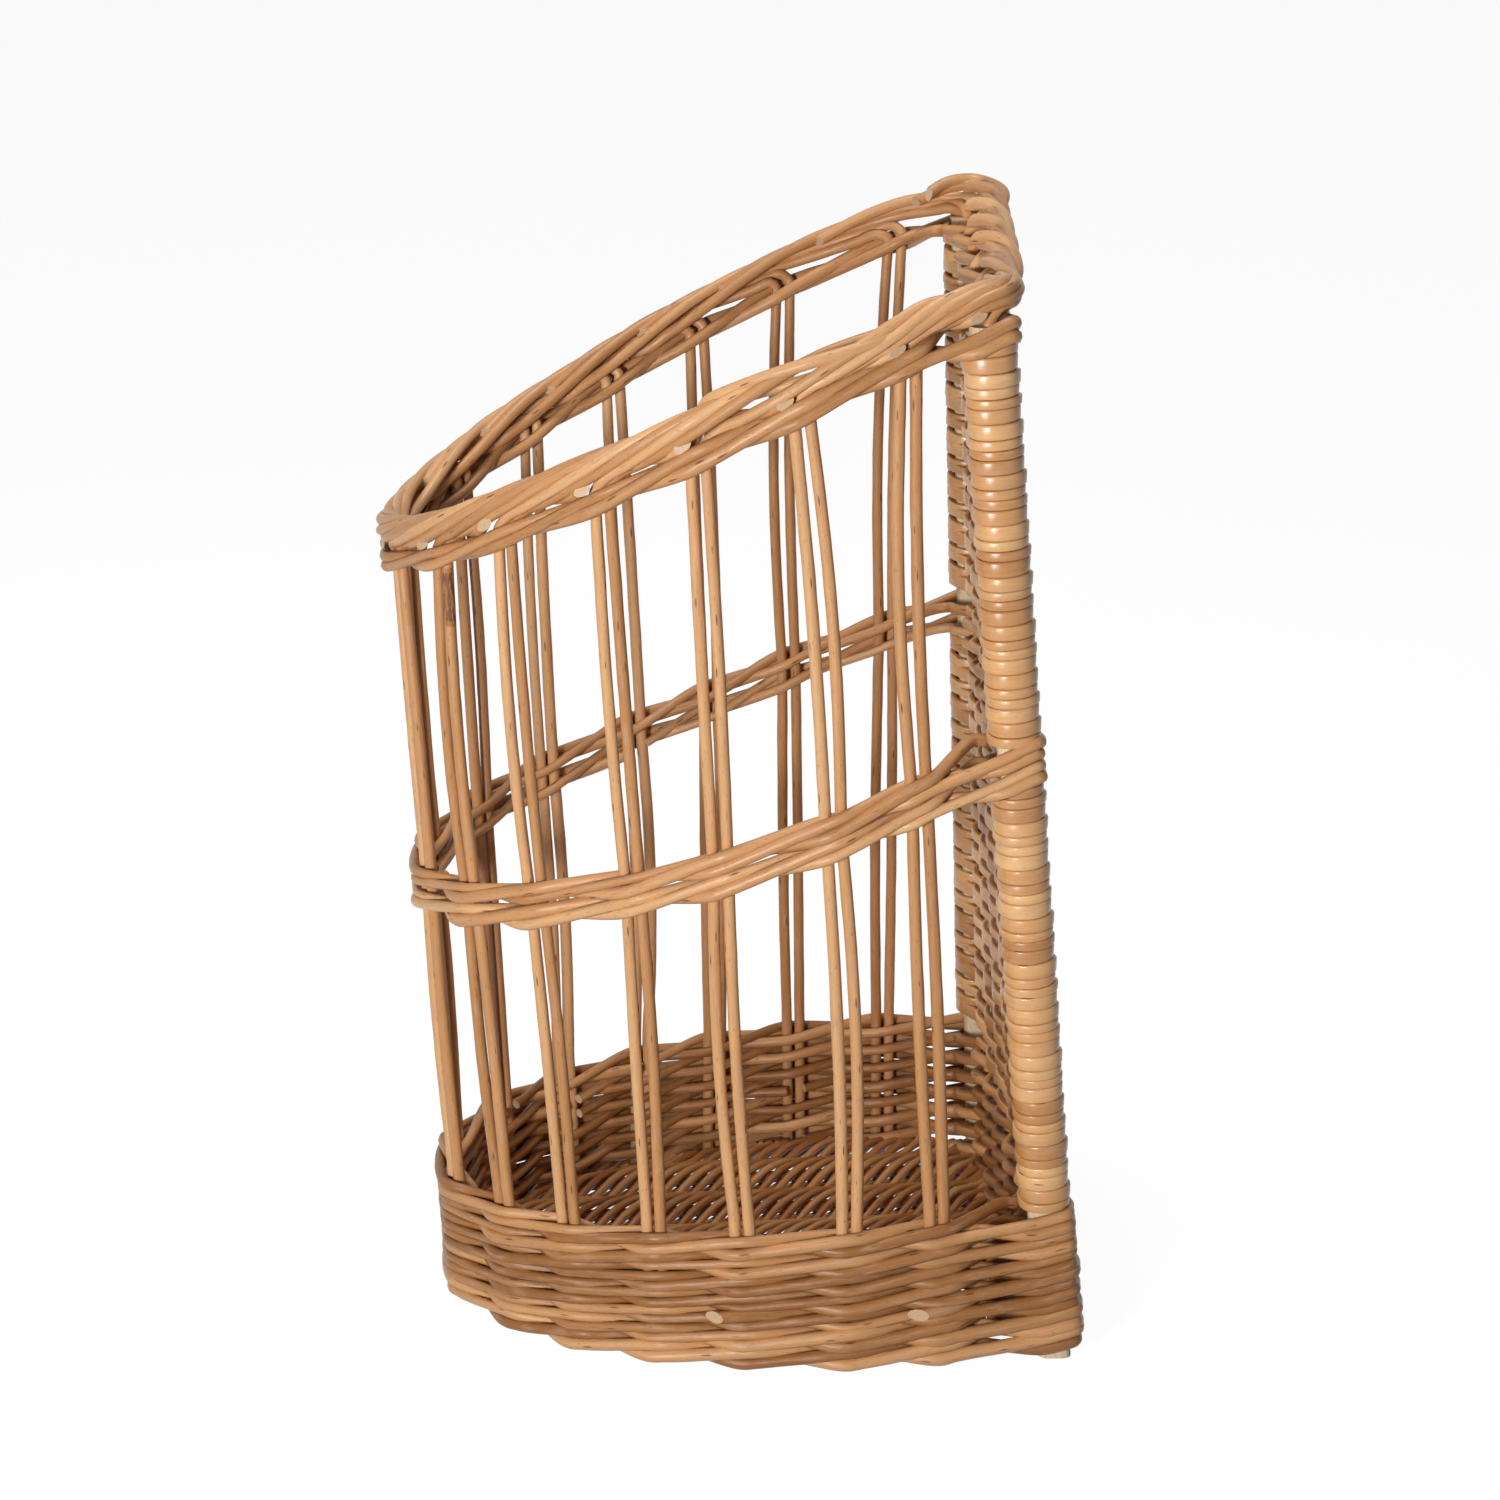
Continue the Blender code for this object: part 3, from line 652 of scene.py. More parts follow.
@dataclass(frozen=True)
class WillowFinish:
    """The look of peeled, boiled willow, from its dark tone to its pale one."""

    name: str
    dark: tuple = (0.40, 0.175, 0.055, 1.0)
    middle: tuple = (0.62, 0.310, 0.128, 1.0)
    pale: tuple = (0.80, 0.475, 0.232, 1.0)
    bud: tuple = (0.13, 0.05, 0.02, 1.0)
    bark: tuple = (0.17, 0.062, 0.035, 1.0)
    blush: tuple = (0.55, 0.34, 0.22, 1.0)
    end: tuple = (0.64, 0.44, 0.27, 1.0)
    ring: tuple = (0.40, 0.23, 0.12, 1.0)
    roughness: float = 0.35
    rough_swing: float = 0.22
    gloss: float = 0.30
    bud_share: float = 1.0
    bud_chance: float = 0.9
    streaks: float = 0.22
    streak_gain: float = 1.6
    drift_gain: float = 0.55
    relief: float = 0.00025
    relief_shares: tuple = (0.6, 0.4, 0.8, 2.0)
    relief_strength: float = 0.6
    streak: Noise = Noise(7.0, 26.0, 5.0)
    fibre: Noise = Noise(22.0, 90.0, 2.0)
    fibre_span: tuple = (0.25, 0.75)
    drift: Noise = Noise(0.7, 9.0, 2.0)
    blotch: Noise = Noise(1.3, 55.0, 3.0)
    flush: Span = Span(0.52, 0.74, 0.0, 0.55)
    bud_edge: Noise = Noise(9.0, 420.0, 3.0)
    bud_edge_depth: float = 0.09
    bud_depth: float = 0.85
    speck: Noise = Noise(6.0, 230.0, 2.0)
    speck_span: tuple = (0.66, 0.73)
    speck_depth: float = 0.65
    tear: Noise = Noise(2.2, 130.0, 4.0)
    tear_tone: Span = Span(-0.6, -1.0, 0.0, 1.0)
    tear_patch: Span = Span(0.44, 0.54, 0.0, 0.9)
    rings_per_radius: float = 26.0
    ring_depth: float = 0.22
    heart: Span = Span(0.16, 0.08, 0.0, 0.8)

    def material(self) -> bpy.types.Material:
        """Return the finish as a node material."""
        material = bpy.data.materials.new(self.name)
        bench = NodeBench.cleared(material)
        grain = bench.add("ShaderNodeAttribute", attribute_name="grain").outputs["Vector"]
        tone = bench.add("ShaderNodeAttribute", attribute_name="tone").outputs["Fac"]
        streak, fibre, blotch = (bench.noise(grain, noise) for noise in (self.streak, self.fibre, self.blotch))
        buds, halo = self._buds(bench, grain)
        torn = self._torn(bench, grain, tone)
        colour = self._colour(bench, tone, streak, fibre, bench.noise(grain, self.drift), blotch)
        colour = bench.blend(buds, colour, self.bud)
        colour = bench.blend(torn, colour, self.bark)
        colour = self._with_ends(bench, grain, colour)
        by_streak, by_fibre, by_halo, by_tear = self.relief_shares
        relief = bench.math("ADD", bench.math("MULTIPLY", streak, by_streak), bench.math("MULTIPLY", fibre, by_fibre))
        relief = bench.math("ADD", relief, bench.math("MULTIPLY", halo, by_halo))
        relief = bench.math("SUBTRACT", relief, bench.math("ADD", buds, bench.math("MULTIPLY", torn, by_tear)))
        bump = bench.add("ShaderNodeBump", {"Height": relief, "Distance": self.relief,
                                            "Strength": self.relief_strength}).outputs[0]
        rough = bench.math("MULTIPLY_ADD", blotch, self.rough_swing, self.roughness - self.rough_swing / 2)
        skin = bench.add("ShaderNodeBsdfPrincipled", {"Base Color": colour, "Roughness": rough, "Normal": bump,
                                                      "Specular IOR Level": self.gloss})
        bench.add("ShaderNodeOutputMaterial", {"Surface": skin.outputs[0]})
        return material

    def _colour(self, bench: NodeBench, tone: object, streak: object, fibre: object, drift: object,
                blotch: object) -> Socket:
        """Return the skin's colour from its tone, its streaks and its blotches."""
        mixed = bench.math("MULTIPLY_ADD", drift, self.drift_gain, tone)
        mixed = bench.math("MULTIPLY_ADD", streak, self.streaks * self.streak_gain, mixed)
        middle = (self.drift_gain + self.streaks * self.streak_gain) / 2
        ramp = bench.add("ShaderNodeValToRGB", {0: bench.math("SUBTRACT", mixed, middle, clamp=True)})
        stops = ramp.color_ramp.elements
        stops[0].position, stops[0].color = 0.0, self.dark
        stops[1].position, stops[1].color = 1.0, self.pale
        stops.new(0.5).color = self.middle
        colour = bench.blend(bench.ranged(blotch, self.flush), ramp.outputs[0], self.blush)
        shade = Span(*self.fibre_span, 1 - self.streaks, 1 + self.streaks / 2)
        return bench.scaled(colour, bench.ranged(fibre, shade))

    def _buds(self, bench: NodeBench, grain: Socket) -> tuple:
        """Return the dark scars of the buds, and the soft mound round each."""
        cells = bench.buds(grain)
        edge, depth = bench.noise(grain, self.bud_edge), self.bud_edge_depth
        distance = bench.math("MULTIPLY_ADD", edge, depth, bench.math("SUBTRACT", cells["Distance"], depth / 2))
        chance = bench.add("ShaderNodeSeparateColor", {0: cells["Color"]}).outputs[0]
        kept = bench.math("LESS_THAN", chance, self.bud_chance * self.bud_share)
        rim, core = KNOTS.radius * KNOTS.rim_share, KNOTS.radius * KNOTS.core_share
        scar = bench.ranged(distance, Span(rim, core, 0.0, self.bud_depth))
        halo = bench.ranged(distance, Span(KNOTS.radius * KNOTS.halo_share, 0.0, 0.0, 1.0))
        speck = bench.ranged(bench.noise(grain, self.speck),
                             Span(*self.speck_span, 0.0, self.speck_depth * self.bud_share))
        marks = bench.math("MAXIMUM", bench.math("MULTIPLY", scar, kept), speck)
        return marks, bench.math("MULTIPLY", halo, kept)

    def _torn(self, bench: NodeBench, grain: Socket, tone: object) -> Socket:
        """Return where bark is left on a stretch whose tone is set far under the dark one."""
        patch = bench.ranged(bench.noise(grain, self.tear), self.tear_patch)
        return bench.math("MULTIPLY", bench.ranged(tone, self.tear_tone), patch)

    def _with_ends(self, bench: NodeBench, grain: Socket, colour: object) -> Socket:
        """Return the colour with end grain where the rod is cut."""
        away = bench.vector("LENGTH", bench.vector("MULTIPLY", grain, (1.0, 1.0, 0.0)))
        rings = bench.math("SINE", bench.math("MULTIPLY", away, self.rings_per_radius))
        rings = bench.math("MULTIPLY_ADD", rings, self.ring_depth, self.ring_depth)
        wood = bench.blend(bench.math("MAXIMUM", rings, bench.ranged(away, self.heart)), self.end, self.ring)
        cut = bench.add("ShaderNodeAttribute", attribute_name="cut").outputs["Fac"]
        return bench.blend(cut, colour, wood)


class Palette:
    """The finishes of the basket, each made once."""

    finishes: dict = {
        Slot.STAKE: WillowFinish("peeled willow stake"),
        Slot.WEAVE: WillowFinish("peeled willow weaver", dark=(0.33, 0.135, 0.040, 1.0)),
        # The strips' tones are paler than the rods': partly the split wood's own colour, partly a painted highlight
        # standing in for the strips' broad sheen on the posts.
        Slot.STRIP: WillowFinish("split willow strip with painted highlight", dark=(0.50, 0.22, 0.070, 1.0), middle=(0.70, 0.36, 0.142, 1.0),
                                 pale=(0.87, 0.535, 0.25, 1.0), roughness=0.29, gloss=0.55, bud_share=0.35,
                                 streaks=0.12, relief=0.00012),
        # The floor's willow is darker and redder than the other willow: painted shade of the basket's inside, with
        # painted reddish bounce light between its rods.
        Slot.FLOOR: WillowFinish("floor willow", dark=(0.31, 0.105, 0.029, 1.0), middle=(0.51, 0.23, 0.078, 1.0),
                                 pale=(0.68, 0.37, 0.15, 1.0)),
        Slot.BATTEN: WillowFinish("shaved batten", dark=(0.66, 0.47, 0.25, 1.0), middle=(0.82, 0.65, 0.41, 1.0),
                                  pale=(0.92, 0.79, 0.57, 1.0), roughness=0.62, gloss=0.2, bud_share=0.3,
                                  streaks=0.35, relief=0.0005),
    }

    def __init__(self) -> None:
        """Make the materials."""
        self.materials = {slot: finish.material() for slot, finish in self.finishes.items()}


class Workshop:
    """What every sub-assembly shares: the ring of uprights, the sweeps, the finishes and the seeded chance."""

    grain_length: float = 90.0
    plain: dict = {"Sides": 10, "Width": 0.008, "Thickness": 0.0032, "Edge radius": 0.001, "Swelling": KNOTS.swelling,
             "Waviness": 0.0004}

    def __init__(self, ring: Ring, seed: int):
        """Make the sweeps and the finishes."""
        self.ring = ring
        self.wall = ring.wall
        self.palette = Palette()
        self.sweeps = {section: SweepTree(section) for section in Section}
        self.chance = Random(seed)

    def between(self, low: float, high: float) -> float:
        """Return a random number between two."""
        return self.chance.uniform(low, high)

    def tone(self, low: float = 0.25, high: float = 0.85) -> float:
        """Return a rod's tone at random."""
        return self.between(low, high)

    def far_start(self) -> float:
        """Return a random place on the grain's length, so that no two rods look alike."""
        return self.between(0.0, self.grain_length)

    def even_rod(self, line: np.ndarray, radius: float, tones: tuple = (), cut_end: np.ndarray | None = None) -> Rod:
        """Return a rod of one thickness and one random tone.

        Args:
            line: The rod's middle line.
            radius: Its radius all along.
            tones: The darkest and the palest tone that it may get, where it isn't the usual range.
            cut_end: The slant of its end.

        Returns:
            The rod.
        """
        return Rod(line, np.full(len(line), radius), np.full(len(line), self.tone(*tones)), self.far_start(),
                   cut_end=cut_end)

    def finish_piece(self, name: str, rods: list[Rod], slot: Slot, nodes: list[str], section: Section = Section.ROUND,
                     **values: float) -> bpy.types.Object:
        """Grow a piece and hand it to the frame.

        Args:
            name: The piece's name.
            rods: Its rods.
            slot: The material slot of its finish.
            nodes: The CAD nodes that it stands for.
            section: Whether its rods are round or flat.
            values: The sweep's sizes, by their names in small letters.

        Returns:
            The finished piece.
        """
        given = {**self.plain, "Finish": self.palette.materials[slot]}
        given.update({key.replace("_", " ").capitalize(): value for key, value in values.items()})
        piece = self.sweeps[section].grow(name, rods, given)
        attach(piece, BODY)
        if nodes:
            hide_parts(*nodes)
        log.info("%s: %d rods, %d faces", name, len(rods), len(piece.data.polygons))
        return piece


# ------------------------------------------------------------------------------------------- uprights


@dataclass
class Stakes:
    """The fourteen pairs of willow stakes of the open wall."""

    shop: Workshop
    bow: float = 0.0032
    lean_share: float = 0.5
    spread: float = 0.0016
    least_spread: float = 0.1
    sizes: tuple = (0.93, 1.03)
    foot_share: float = 1.04
    top_share: float = 0.96
    step: float = 0.006
    scars: tuple = ((8, 1, 0.447, 0.478),)
    scar_depth: float = 2.0
    sides: int = 14
    tones: dict = field(default_factory=dict)

    def build(self) -> None:
        """Build each stake as its own piece."""
        ring, between = self.shop.ring, self.shop.between
        sizes = ring.sizes
        for number, (pair, rim_share) in enumerate(zip(ring.pairs, ring.rim_shares)):
            bows = [(between(-1, 1) * self.bow, between(-self.lean_share, self.lean_share) * self.bow)
                    for _ in range(2)]
            for side, letter in ((-1, "a"), (1, "b")):
                aside = side * sizes.pair_spacing / 2
                share = rim_share + aside / self.shop.wall.half_length
                top = ring.rim.at_share(share) - sizes.under_drop
                heights = climb(sizes.stake_foot, top, self.step)
                line = np.array([pair.at(h) + pair.along(h) * aside for h in heights])
                middle = pair.crossing(ring.middle)
                for (low, high), (swing, lean) in zip(((sizes.band_back, middle), (middle, top)), bows):
                    share = np.clip((heights - low) / (high - low), 0.0, 1.0)
                    curve = np.sin(math.pi * share)[:, None]
                    apart = side * between(self.least_spread, 1.0) * self.spread
                    line = line + curve * (pair.along(low) * (swing + apart) + pair.out(low) * lean)
                radius = sizes.stake_radius * between(*self.sizes)
                girth = radius * np.linspace(self.foot_share, self.top_share, len(line))
                tone = self.shop.tone()
                self.tones[(number, side)] = (tone, girth[-1])
                skin = np.full(len(line), tone)
                for marked, marked_side, low, high in self.scars:
                    if (number, side) == (marked, marked_side):
                        skin[(heights > low) & (heights < high)] -= self.scar_depth
                rod = Rod(line, girth, skin, self.shop.far_start())
                name = f"stake_{number + 1:02d}_{letter}"
                self.shop.finish_piece(f"willow_{name}", [rod], Slot.STAKE, [name], sides=self.sides)


@dataclass
class BackFrame:
    """The two corner posts and the five stakes of the woven back."""

    shop: Workshop
    post_width: float = 0.0198
    post_edge: float = 0.0050
    post_tone: float = 0.55
    post_waviness: float = 0.0008
    post_sides: int = 3
    stake_share: float = 0.97
    stake_sides: int = 12
    step: float = 0.006

    def build(self) -> None:
        """Build the posts and the back stakes."""
        ring = self.shop.ring
        top = ring.sizes.post_top
        for name, post in (("near_post", ring.near_post), ("far_post", ring.far_post)):
            heights = climb(0.0, top, self.step)
            line, facing = (np.array([way(h) for h in heights]) for way in (post.at, post.out))
            rod = Rod(line, np.ones(len(line)), np.full(len(line), self.post_tone), self.shop.far_start(),
                      facing=facing)
            self.shop.finish_piece(f"shaved_{name}", [rod], Slot.BATTEN, [name], Section.FLAT, sides=self.post_sides,
                                   width=self.post_width, thickness=self.post_width, edge_radius=self.post_edge,
                                   swelling=0.0, waviness=self.post_waviness)
        for number, stake in enumerate(ring.back):
            line = np.array([stake.at(h) for h in climb(ring.sizes.stake_foot, top, self.step)])
            rod = self.shop.even_rod(line, ring.sizes.back_stake_radius * self.stake_share)
            name = f"back_stake_{number + 1}"
            self.shop.finish_piece(f"willow_{name}", [rod], Slot.STAKE, [name], sides=self.stake_sides)


# ------------------------------------------------------------------------------------------- waling


@dataclass
class WaleRow:
    """One row of three rods that pass outside two uprights and inside the third."""

    shop: Workshop
    level: Level
    name: str
    node: str
    shift: int = 0
    butt: float = 0.0033
    tip: float = 0.0023
    tones: tuple = (0.25, 0.85)
    back_gain: float = 0.0
    post_rise: float = 0.45
    butts: dict = field(default_factory=dict)
    butt_length: float = 0.024
    butt_out: float = 0.0050
    butt_slant: float = 1.3
    uneven: float = 0.0005
    least: float = 0.88
    most: float = 1.12
    first_places: tuple = (*range(1, 6), *range(7, 13), *range(7, 13))
    strands: int = 3
    sides: int = 10
    clearance: float = 0.0002
    flat: float = 0.0015
    pair_pitch: float = 0.055
    corner_pitch: float = 0.12
    post_far: float = 0.022
    post_near: float = 0.008
    post_past: float = 0.0025
    step: float = 0.003
    corner: float = 0.0065

    def build(self) -> None:
        """Build the row's three rods as one piece."""
        rods = [self._strand(number) for number in range(self.strands)]
        self.shop.finish_piece(self.name, rods, Slot.WEAVE, [self.node], sides=self.sides)

    def _inside(self, index: int, number: int) -> bool:
        """Return whether a strand passes inside an upright."""
        return (index + number + self.shift) % self.strands == self.strands - 1

    def _lift(self, place: float, number: int, radius: float) -> float:
        """Return how far a strand lies over the row's middle at a running place of the ring."""
        turn = 2 * math.pi / self.strands * (place + number + self.shift) - math.pi / 3
        return radius / math.sin(math.pi / 3) * math.sin(turn)

    def _strand(self, number: int) -> Rod:
        """Return one rod of the row, once round the basket from its butt to its tip."""
        stations = self.shop.ring.stations
        count = len(stations)
        choice = self.shop.chance.choice([i for i in self.first_places if self._inside(i, number)])
        first = self.butts.get(number, choice)
        size = self.shop.between(self.least, self.most)
        points, radii = [], []
        for step in range(count + 1):
            index = (first + step) % count
            radius = size * (self.butt + (self.tip - self.butt) * step / count)
            radius *= 1 + self.back_gain * (1 + stations[index].floor_ys[0] / self.shop.wall.sizes.depth)
            passed = self._pass(stations[index], index, number, radius)
            if step == 0:
                passed = passed[len(passed) // 2:]
            if step == count:
                passed = passed[:len(passed) // 2]
            points += passed
            radii += [radius] * len(passed)
        cut = None
        if number in self.butts:
            along, out = stations[first].along(self.level.front), stations[first].out(self.level.front)
            cut = out * self.butt_slant
            points.insert(0, points[0] - along * self.butt_length + out * self.butt_out)
            radii.insert(0, radii[0])
        line, places = smooth_line(np.array(points), self.step)
        if cut is not None:
            line, places = np.delete(line, (1, 2), axis=0), np.delete(places, (1, 2))
        girth = np.interp(places, np.arange(len(radii)), radii)
        tone = np.full(len(line), self.shop.tone(*self.tones))
        return Rod(line, girth, tone, self.shop.far_start(), cut_start=cut)

    def _pass(self, station: Station, index: int, number: int, radius: float) -> list:
        """Return the points by which a strand passes an upright."""
        if station.kind is Kind.POST:
            return self._pass_post(station, index, number, radius)
        height = station.crossing(self.level)
        floor_y = station.floor_y(height)
        along = station.along(height)
        reach = (station.half_depth + radius + self.clearance) * (-1 if self._inside(index, number) else 1)
        half = station.half_length + self.flat
        points = []
        chance_lift = self.shop.between(-self.uneven, self.uneven)
        for aside in (-half, half):
            level = self.level.at(floor_y + along[1] * aside)
            lift = self._lift(index + aside / self.pair_pitch, number, radius)
            foot = station.at(level) + station.out(height) * reach + along * aside
            points.append(foot + upwards(lift + chance_lift))
        return points

    def _pass_post(self, post: Station, index: int, number: int, radius: float) -> list:
        """Return the points by which a strand turns round a corner post."""
        height = self.level.back
        near = post is self.shop.ring.near_post
        side = -post.along(height) if near else post.along(height)
        back = post.out(height)
        reach = post.half_depth + radius + self.clearance
        inside = self._inside(index, number)
        if inside:
            bend = -reach - self.flat
            spots = [(-reach, -self.post_far), (bend, bend), (-self.post_far, -reach)]
        else:
            bend = reach - self.corner * (1 - math.cos(math.pi / 4))
            spots = [(reach, -self.post_near), (reach, self.post_past), (bend, bend), (self.post_past, reach),
                     (-self.post_near, reach)]
        if not near:
            spots = spots[::-1]
        points = []
        for order, (a, o) in enumerate(spots):
            lift = self._lift(index + (order - (len(spots) - 1) / 2) * self.corner_pitch, number, radius)
            if not inside:
                lift += self.post_rise * o * max(0.0, a) / reach
            points.append(post.at(height) + side * a + back * o + upwards(lift))
        return points


@dataclass
class Waling:
    """All the waling: seven rows at the base, two at the middle and one under the border."""

    shop: Workshop
    base_rows: int = 7
    base_foot: float = 0.0085
    base_back_foot: float = 0.0152
    top_inset: float = 0.0050
    middle_spread: float = 0.0068
    calm_rows: int = 2
    calm: tuple = (("uneven", 0.0003), ("least", 1.02))
    lively: tuple = (("uneven", 0.0009), ("least", 0.88))
    # The base rows' tones, from -0.35 to 0.62, lie below the other rows' 0.25 to 0.85: painted shade of the low band
    # and of the crevices between its rods.
    base_look_with_painted_shade: tuple = (("butt", 0.0034), ("tip", 0.0027), ("tones", (-0.35, 0.62)), ("back_gain", 0.20),
                        ("post_rise", 0.20))
    base_butts: tuple = ((2, ((0, 11), (1, 13))),)
    middle_look: tuple = (("butt", 0.0037), ("tip", 0.0026))
    under_look: tuple = (("butt", 0.0037), ("tip", 0.0029))

    def build(self) -> None:
        """Build the rows from the lowest to the highest."""
        ring, wall = self.shop.ring, self.shop.wall
        sizes = ring.sizes
        butts = dict(self.base_butts)
        for row in range(self.base_rows):
            share = row / (self.base_rows - 1)
            front = self.base_foot + share * (sizes.band_front - self.top_inset - self.base_foot)
            back = self.base_back_foot + share * (sizes.band_back - self.top_inset - self.base_back_foot)
            chance = dict(self.calm if row < self.calm_rows else self.lively)
            WaleRow(self.shop, Level(wall, front, back), f"base_waling_{row + 1}", f"base_band_row_{row + 1}",
                    shift=row, butts=dict(butts.get(row, ())), **dict(self.base_look_with_painted_shade), **chance).build()
        for row, (name, spread) in enumerate((("lower", -self.middle_spread), ("upper", self.middle_spread))):
            WaleRow(self.shop, ring.middle.moved(spread), f"middle_waling_{name}", f"middle_band_row_{name}",
                    shift=row, **dict(self.middle_look)).build()
        WaleRow(self.shop, ring.rim.moved(-sizes.under_drop), "under_border_waling", "under_border_row", shift=2,
                **dict(self.under_look)).build()


# ------------------------------------------------------------------------------------------- border


@dataclass
class Border:
    """The rolled border: every stake bends over and winds along the rim for four stations."""

    shop: Workshop
    tones: dict
    radius: float = 0.0064
    rod: float = 0.0033
    thick_rod: float = 0.0037
    crossing: tuple = ((0.10, -60, 8.5), (0.30, -15, 9.6), (0.60, 20, 9.9), (0.90, 55, 9.9), (1.10, 85, 9.9),
                       (1.25, 112, 10.2), (1.36, 135, 11.5), (1.43, 148, 13.5))
    stations_per_turn: float = 4.0
    corner_share: float = 0.985
    under: float = 0.012
    set_back: float = 0.010
    back_lift: float = 0.003
    guide_points: int = 33
    back_points: int = 9
    guide_step: float = 0.003
    overlap: int = 3
    ahead_step: float = 0.006
    rise_drop: float = 0.0128
    rise_run: float = 0.009
    plain_radius: float = 0.0030
    wind_step: float = 0.15
    angle_swing: float = 6.0
    reaches: tuple = (0.93, 1.12)
    rod_sizes: tuple = (0.95, 1.06)
    thick_sizes: tuple = (0.92, 1.08)
    loose_length: float = 0.5
    loose_radius: float = 0.0115
    loose_inner: float = 0.35
    loose_angle: float = 50.0
    loose_thinning: float = 0.0002
    outer_cut: float = 1.6
    inner_cut: float = -0.9
    thick_cut: float = 0.8
    sides: int = 12
    end_place: float = 3.91
    inner_end_place: float = 2.75
    elbow: tuple = (11, -1)
    elbow_path: tuple = ((0.02, 175, 7.5), (0.07, 140, 9.2), (0.18, 110, 9.8), (0.45, 93, 9.8), (0.80, 72, 9.6),
                         (1.20, 48, 9.0), (1.60, 24, 7.0), (1.90, 8, 5.0))
    step: float = 0.0035
    groups: int = 3

    def __post_init__(self) -> None:
        """Draw the border's middle line and find the stations on it."""
        ring, wall = self.shop.ring, self.shop.wall
        guide = [wall.leaned(wall.point(share), ring.rim.at_share(share))
                 for share in np.linspace(-self.corner_share, self.corner_share, self.guide_points)]
        inset = (1 - self.corner_share) * wall.half_length / wall.sizes.half_width
        for side in np.linspace(1 - inset, inset - 1, self.back_points):
            behind = np.array([side * wall.sizes.half_width, self.set_back])
            guide.append(wall.leaned(behind, ring.rim.back + self.back_lift))
        looped = np.array(guide[-self.overlap:] + guide + guide[:self.overlap + 1])
        line, places = smooth_line(looped, self.guide_step)
        self.line = line[(places >= self.overlap) & (places < len(guide) + self.overlap)]
        self.loop = np.vstack([self.line, self.line[:1]])
        self.run = run_of(self.loop)
        marks = []
        for station in ring.stations:
            spot = station.at(station.crossing(ring.rim))
            marks.append(self.run[np.argmin(np.linalg.norm(self.line - spot, axis=1))])
        self.total = self.run[-1]
        self.numbers = np.arange(-len(marks), 2 * len(marks))
        self.lengths = np.concatenate([np.array(marks) + turn * self.total for turn in (-1, 0, 1)])

    def _length(self, place: float) -> float:
        """Return the length of the border up to a running place."""
        return float(np.interp(place, self.numbers, self.lengths))

    def _spot(self, run: float) -> np.ndarray:
        """Return the point of the border's middle line at a length."""
        return np.array([np.interp(run % self.total, self.run, self.loop[:, axis]) for axis in range(3)])

    def middle(self, place: float) -> tuple[np.ndarray, np.ndarray, np.ndarray]:
        """Return the border's middle at a running place, with the directions out of the basket and up."""
        length = self._length(place)
        ahead = unit(self._spot(length + self.ahead_step) - self._spot(length - self.ahead_step))
        out = unit(np.cross(ahead, upwards(1.0)))
        return self._spot(length), out, np.cross(out, ahead)

    def wound(self, place: float, angle: float, radius: float) -> np.ndarray:
        """Return the point at an angle round the border's middle, in degrees up from straight out."""
        spot, out, up = self.middle(place)
        turn = math.radians(angle)
        return spot + radius * (math.cos(turn) * out + math.sin(turn) * up)

    def build(self) -> None:
        """Build the border's rods in three groups, one for each strand of the CAD model."""
        groups = [[] for _ in range(self.groups)]
        for number, station in enumerate(self.shop.ring.stations):
            for side in (-1, 1):
                crossing = station.kind is Kind.BACK and side < 0
                rod = self._crossing_rod(number) if crossing else self._rod(number, side)
                groups[number % self.groups].append(rod)
        for number, rods in enumerate(groups):
            self.shop.finish_piece(f"border_rods_{number + 1}", rods, Slot.STAKE, [f"border_strand_{number + 1}"],
                                   sides=self.sides)

    def _crossing_rod(self, number: int) -> Rod:
        """Return a back stake's thick end, which lies behind the border and crosses over it to the inside."""
        station = self.shop.ring.stations[number]
        top = station.knots[-1, 2]
        points = [station.at(top - self.under), station.at(top)]
        for ahead, angle, reach in self.crossing:
            points.append(self.wound(number + ahead, angle, reach / MILLIMETRES))
        line, _ = smooth_line(np.array(points), self.step)
        radius = self.thick_rod * self.shop.between(*self.thick_sizes)
        _, _, up = self.middle(number + self.crossing[-1][0])
        return self.shop.even_rod(line, radius, cut_end=up * self.thick_cut)

    def _rod(self, number: int, side: int) -> Rod:
        """Return the rod that rises at a station, on the left (-1) or right (1) of its pair."""
        ring = self.shop.ring
        station = ring.stations[number]
        base = station.crossing(ring.rim)
        tone, top_radius = self.tones.get((number, side), (self.shop.tone(), self.plain_radius))
        aside = side * ring.sizes.pair_spacing / 2
        if station.kind is Kind.PAIR:
            base = ring.rim.at_share(ring.rim_shares[number] + aside / self.shop.wall.half_length)
        spacing = self._length(number + 0.5) - self._length(number - 0.5)
        turn = 360.0 / self.stations_per_turn
        start_angle = -90.0 - side * turn / 4 + self.shop.between(-self.angle_swing, self.angle_swing)
        reach = self.radius * self.shop.between(*self.reaches)
        points, radii = [], []
        for drop in (ring.sizes.under_drop, self.rise_drop):
            height = base - drop
            points.append(station.at(height) + station.along(height) * aside)
            radii.append(top_radius)
        last = number + (self.end_place if side < 0 else self.inner_end_place)
        here = number + (aside + self.rise_run) / spacing
        if (number, side) == self.elbow:
            here = last
            for ahead, angle, away in self.elbow_path:
                points.append(self.wound(number + ahead, angle, away / MILLIMETRES))
                radii.append(self.rod)
        while here < last:
            angle = start_angle + turn * (here - number)
            loosened = max(0.0, 1 - (last - here) / self.loose_length)
            radius = reach * (1 - self.loose_inner * loosened)
            if side < 0:
                angle += self.loose_angle * loosened
                radius = reach + (self.loose_radius - reach) * loosened
            points.append(self.wound(here, angle, radius))
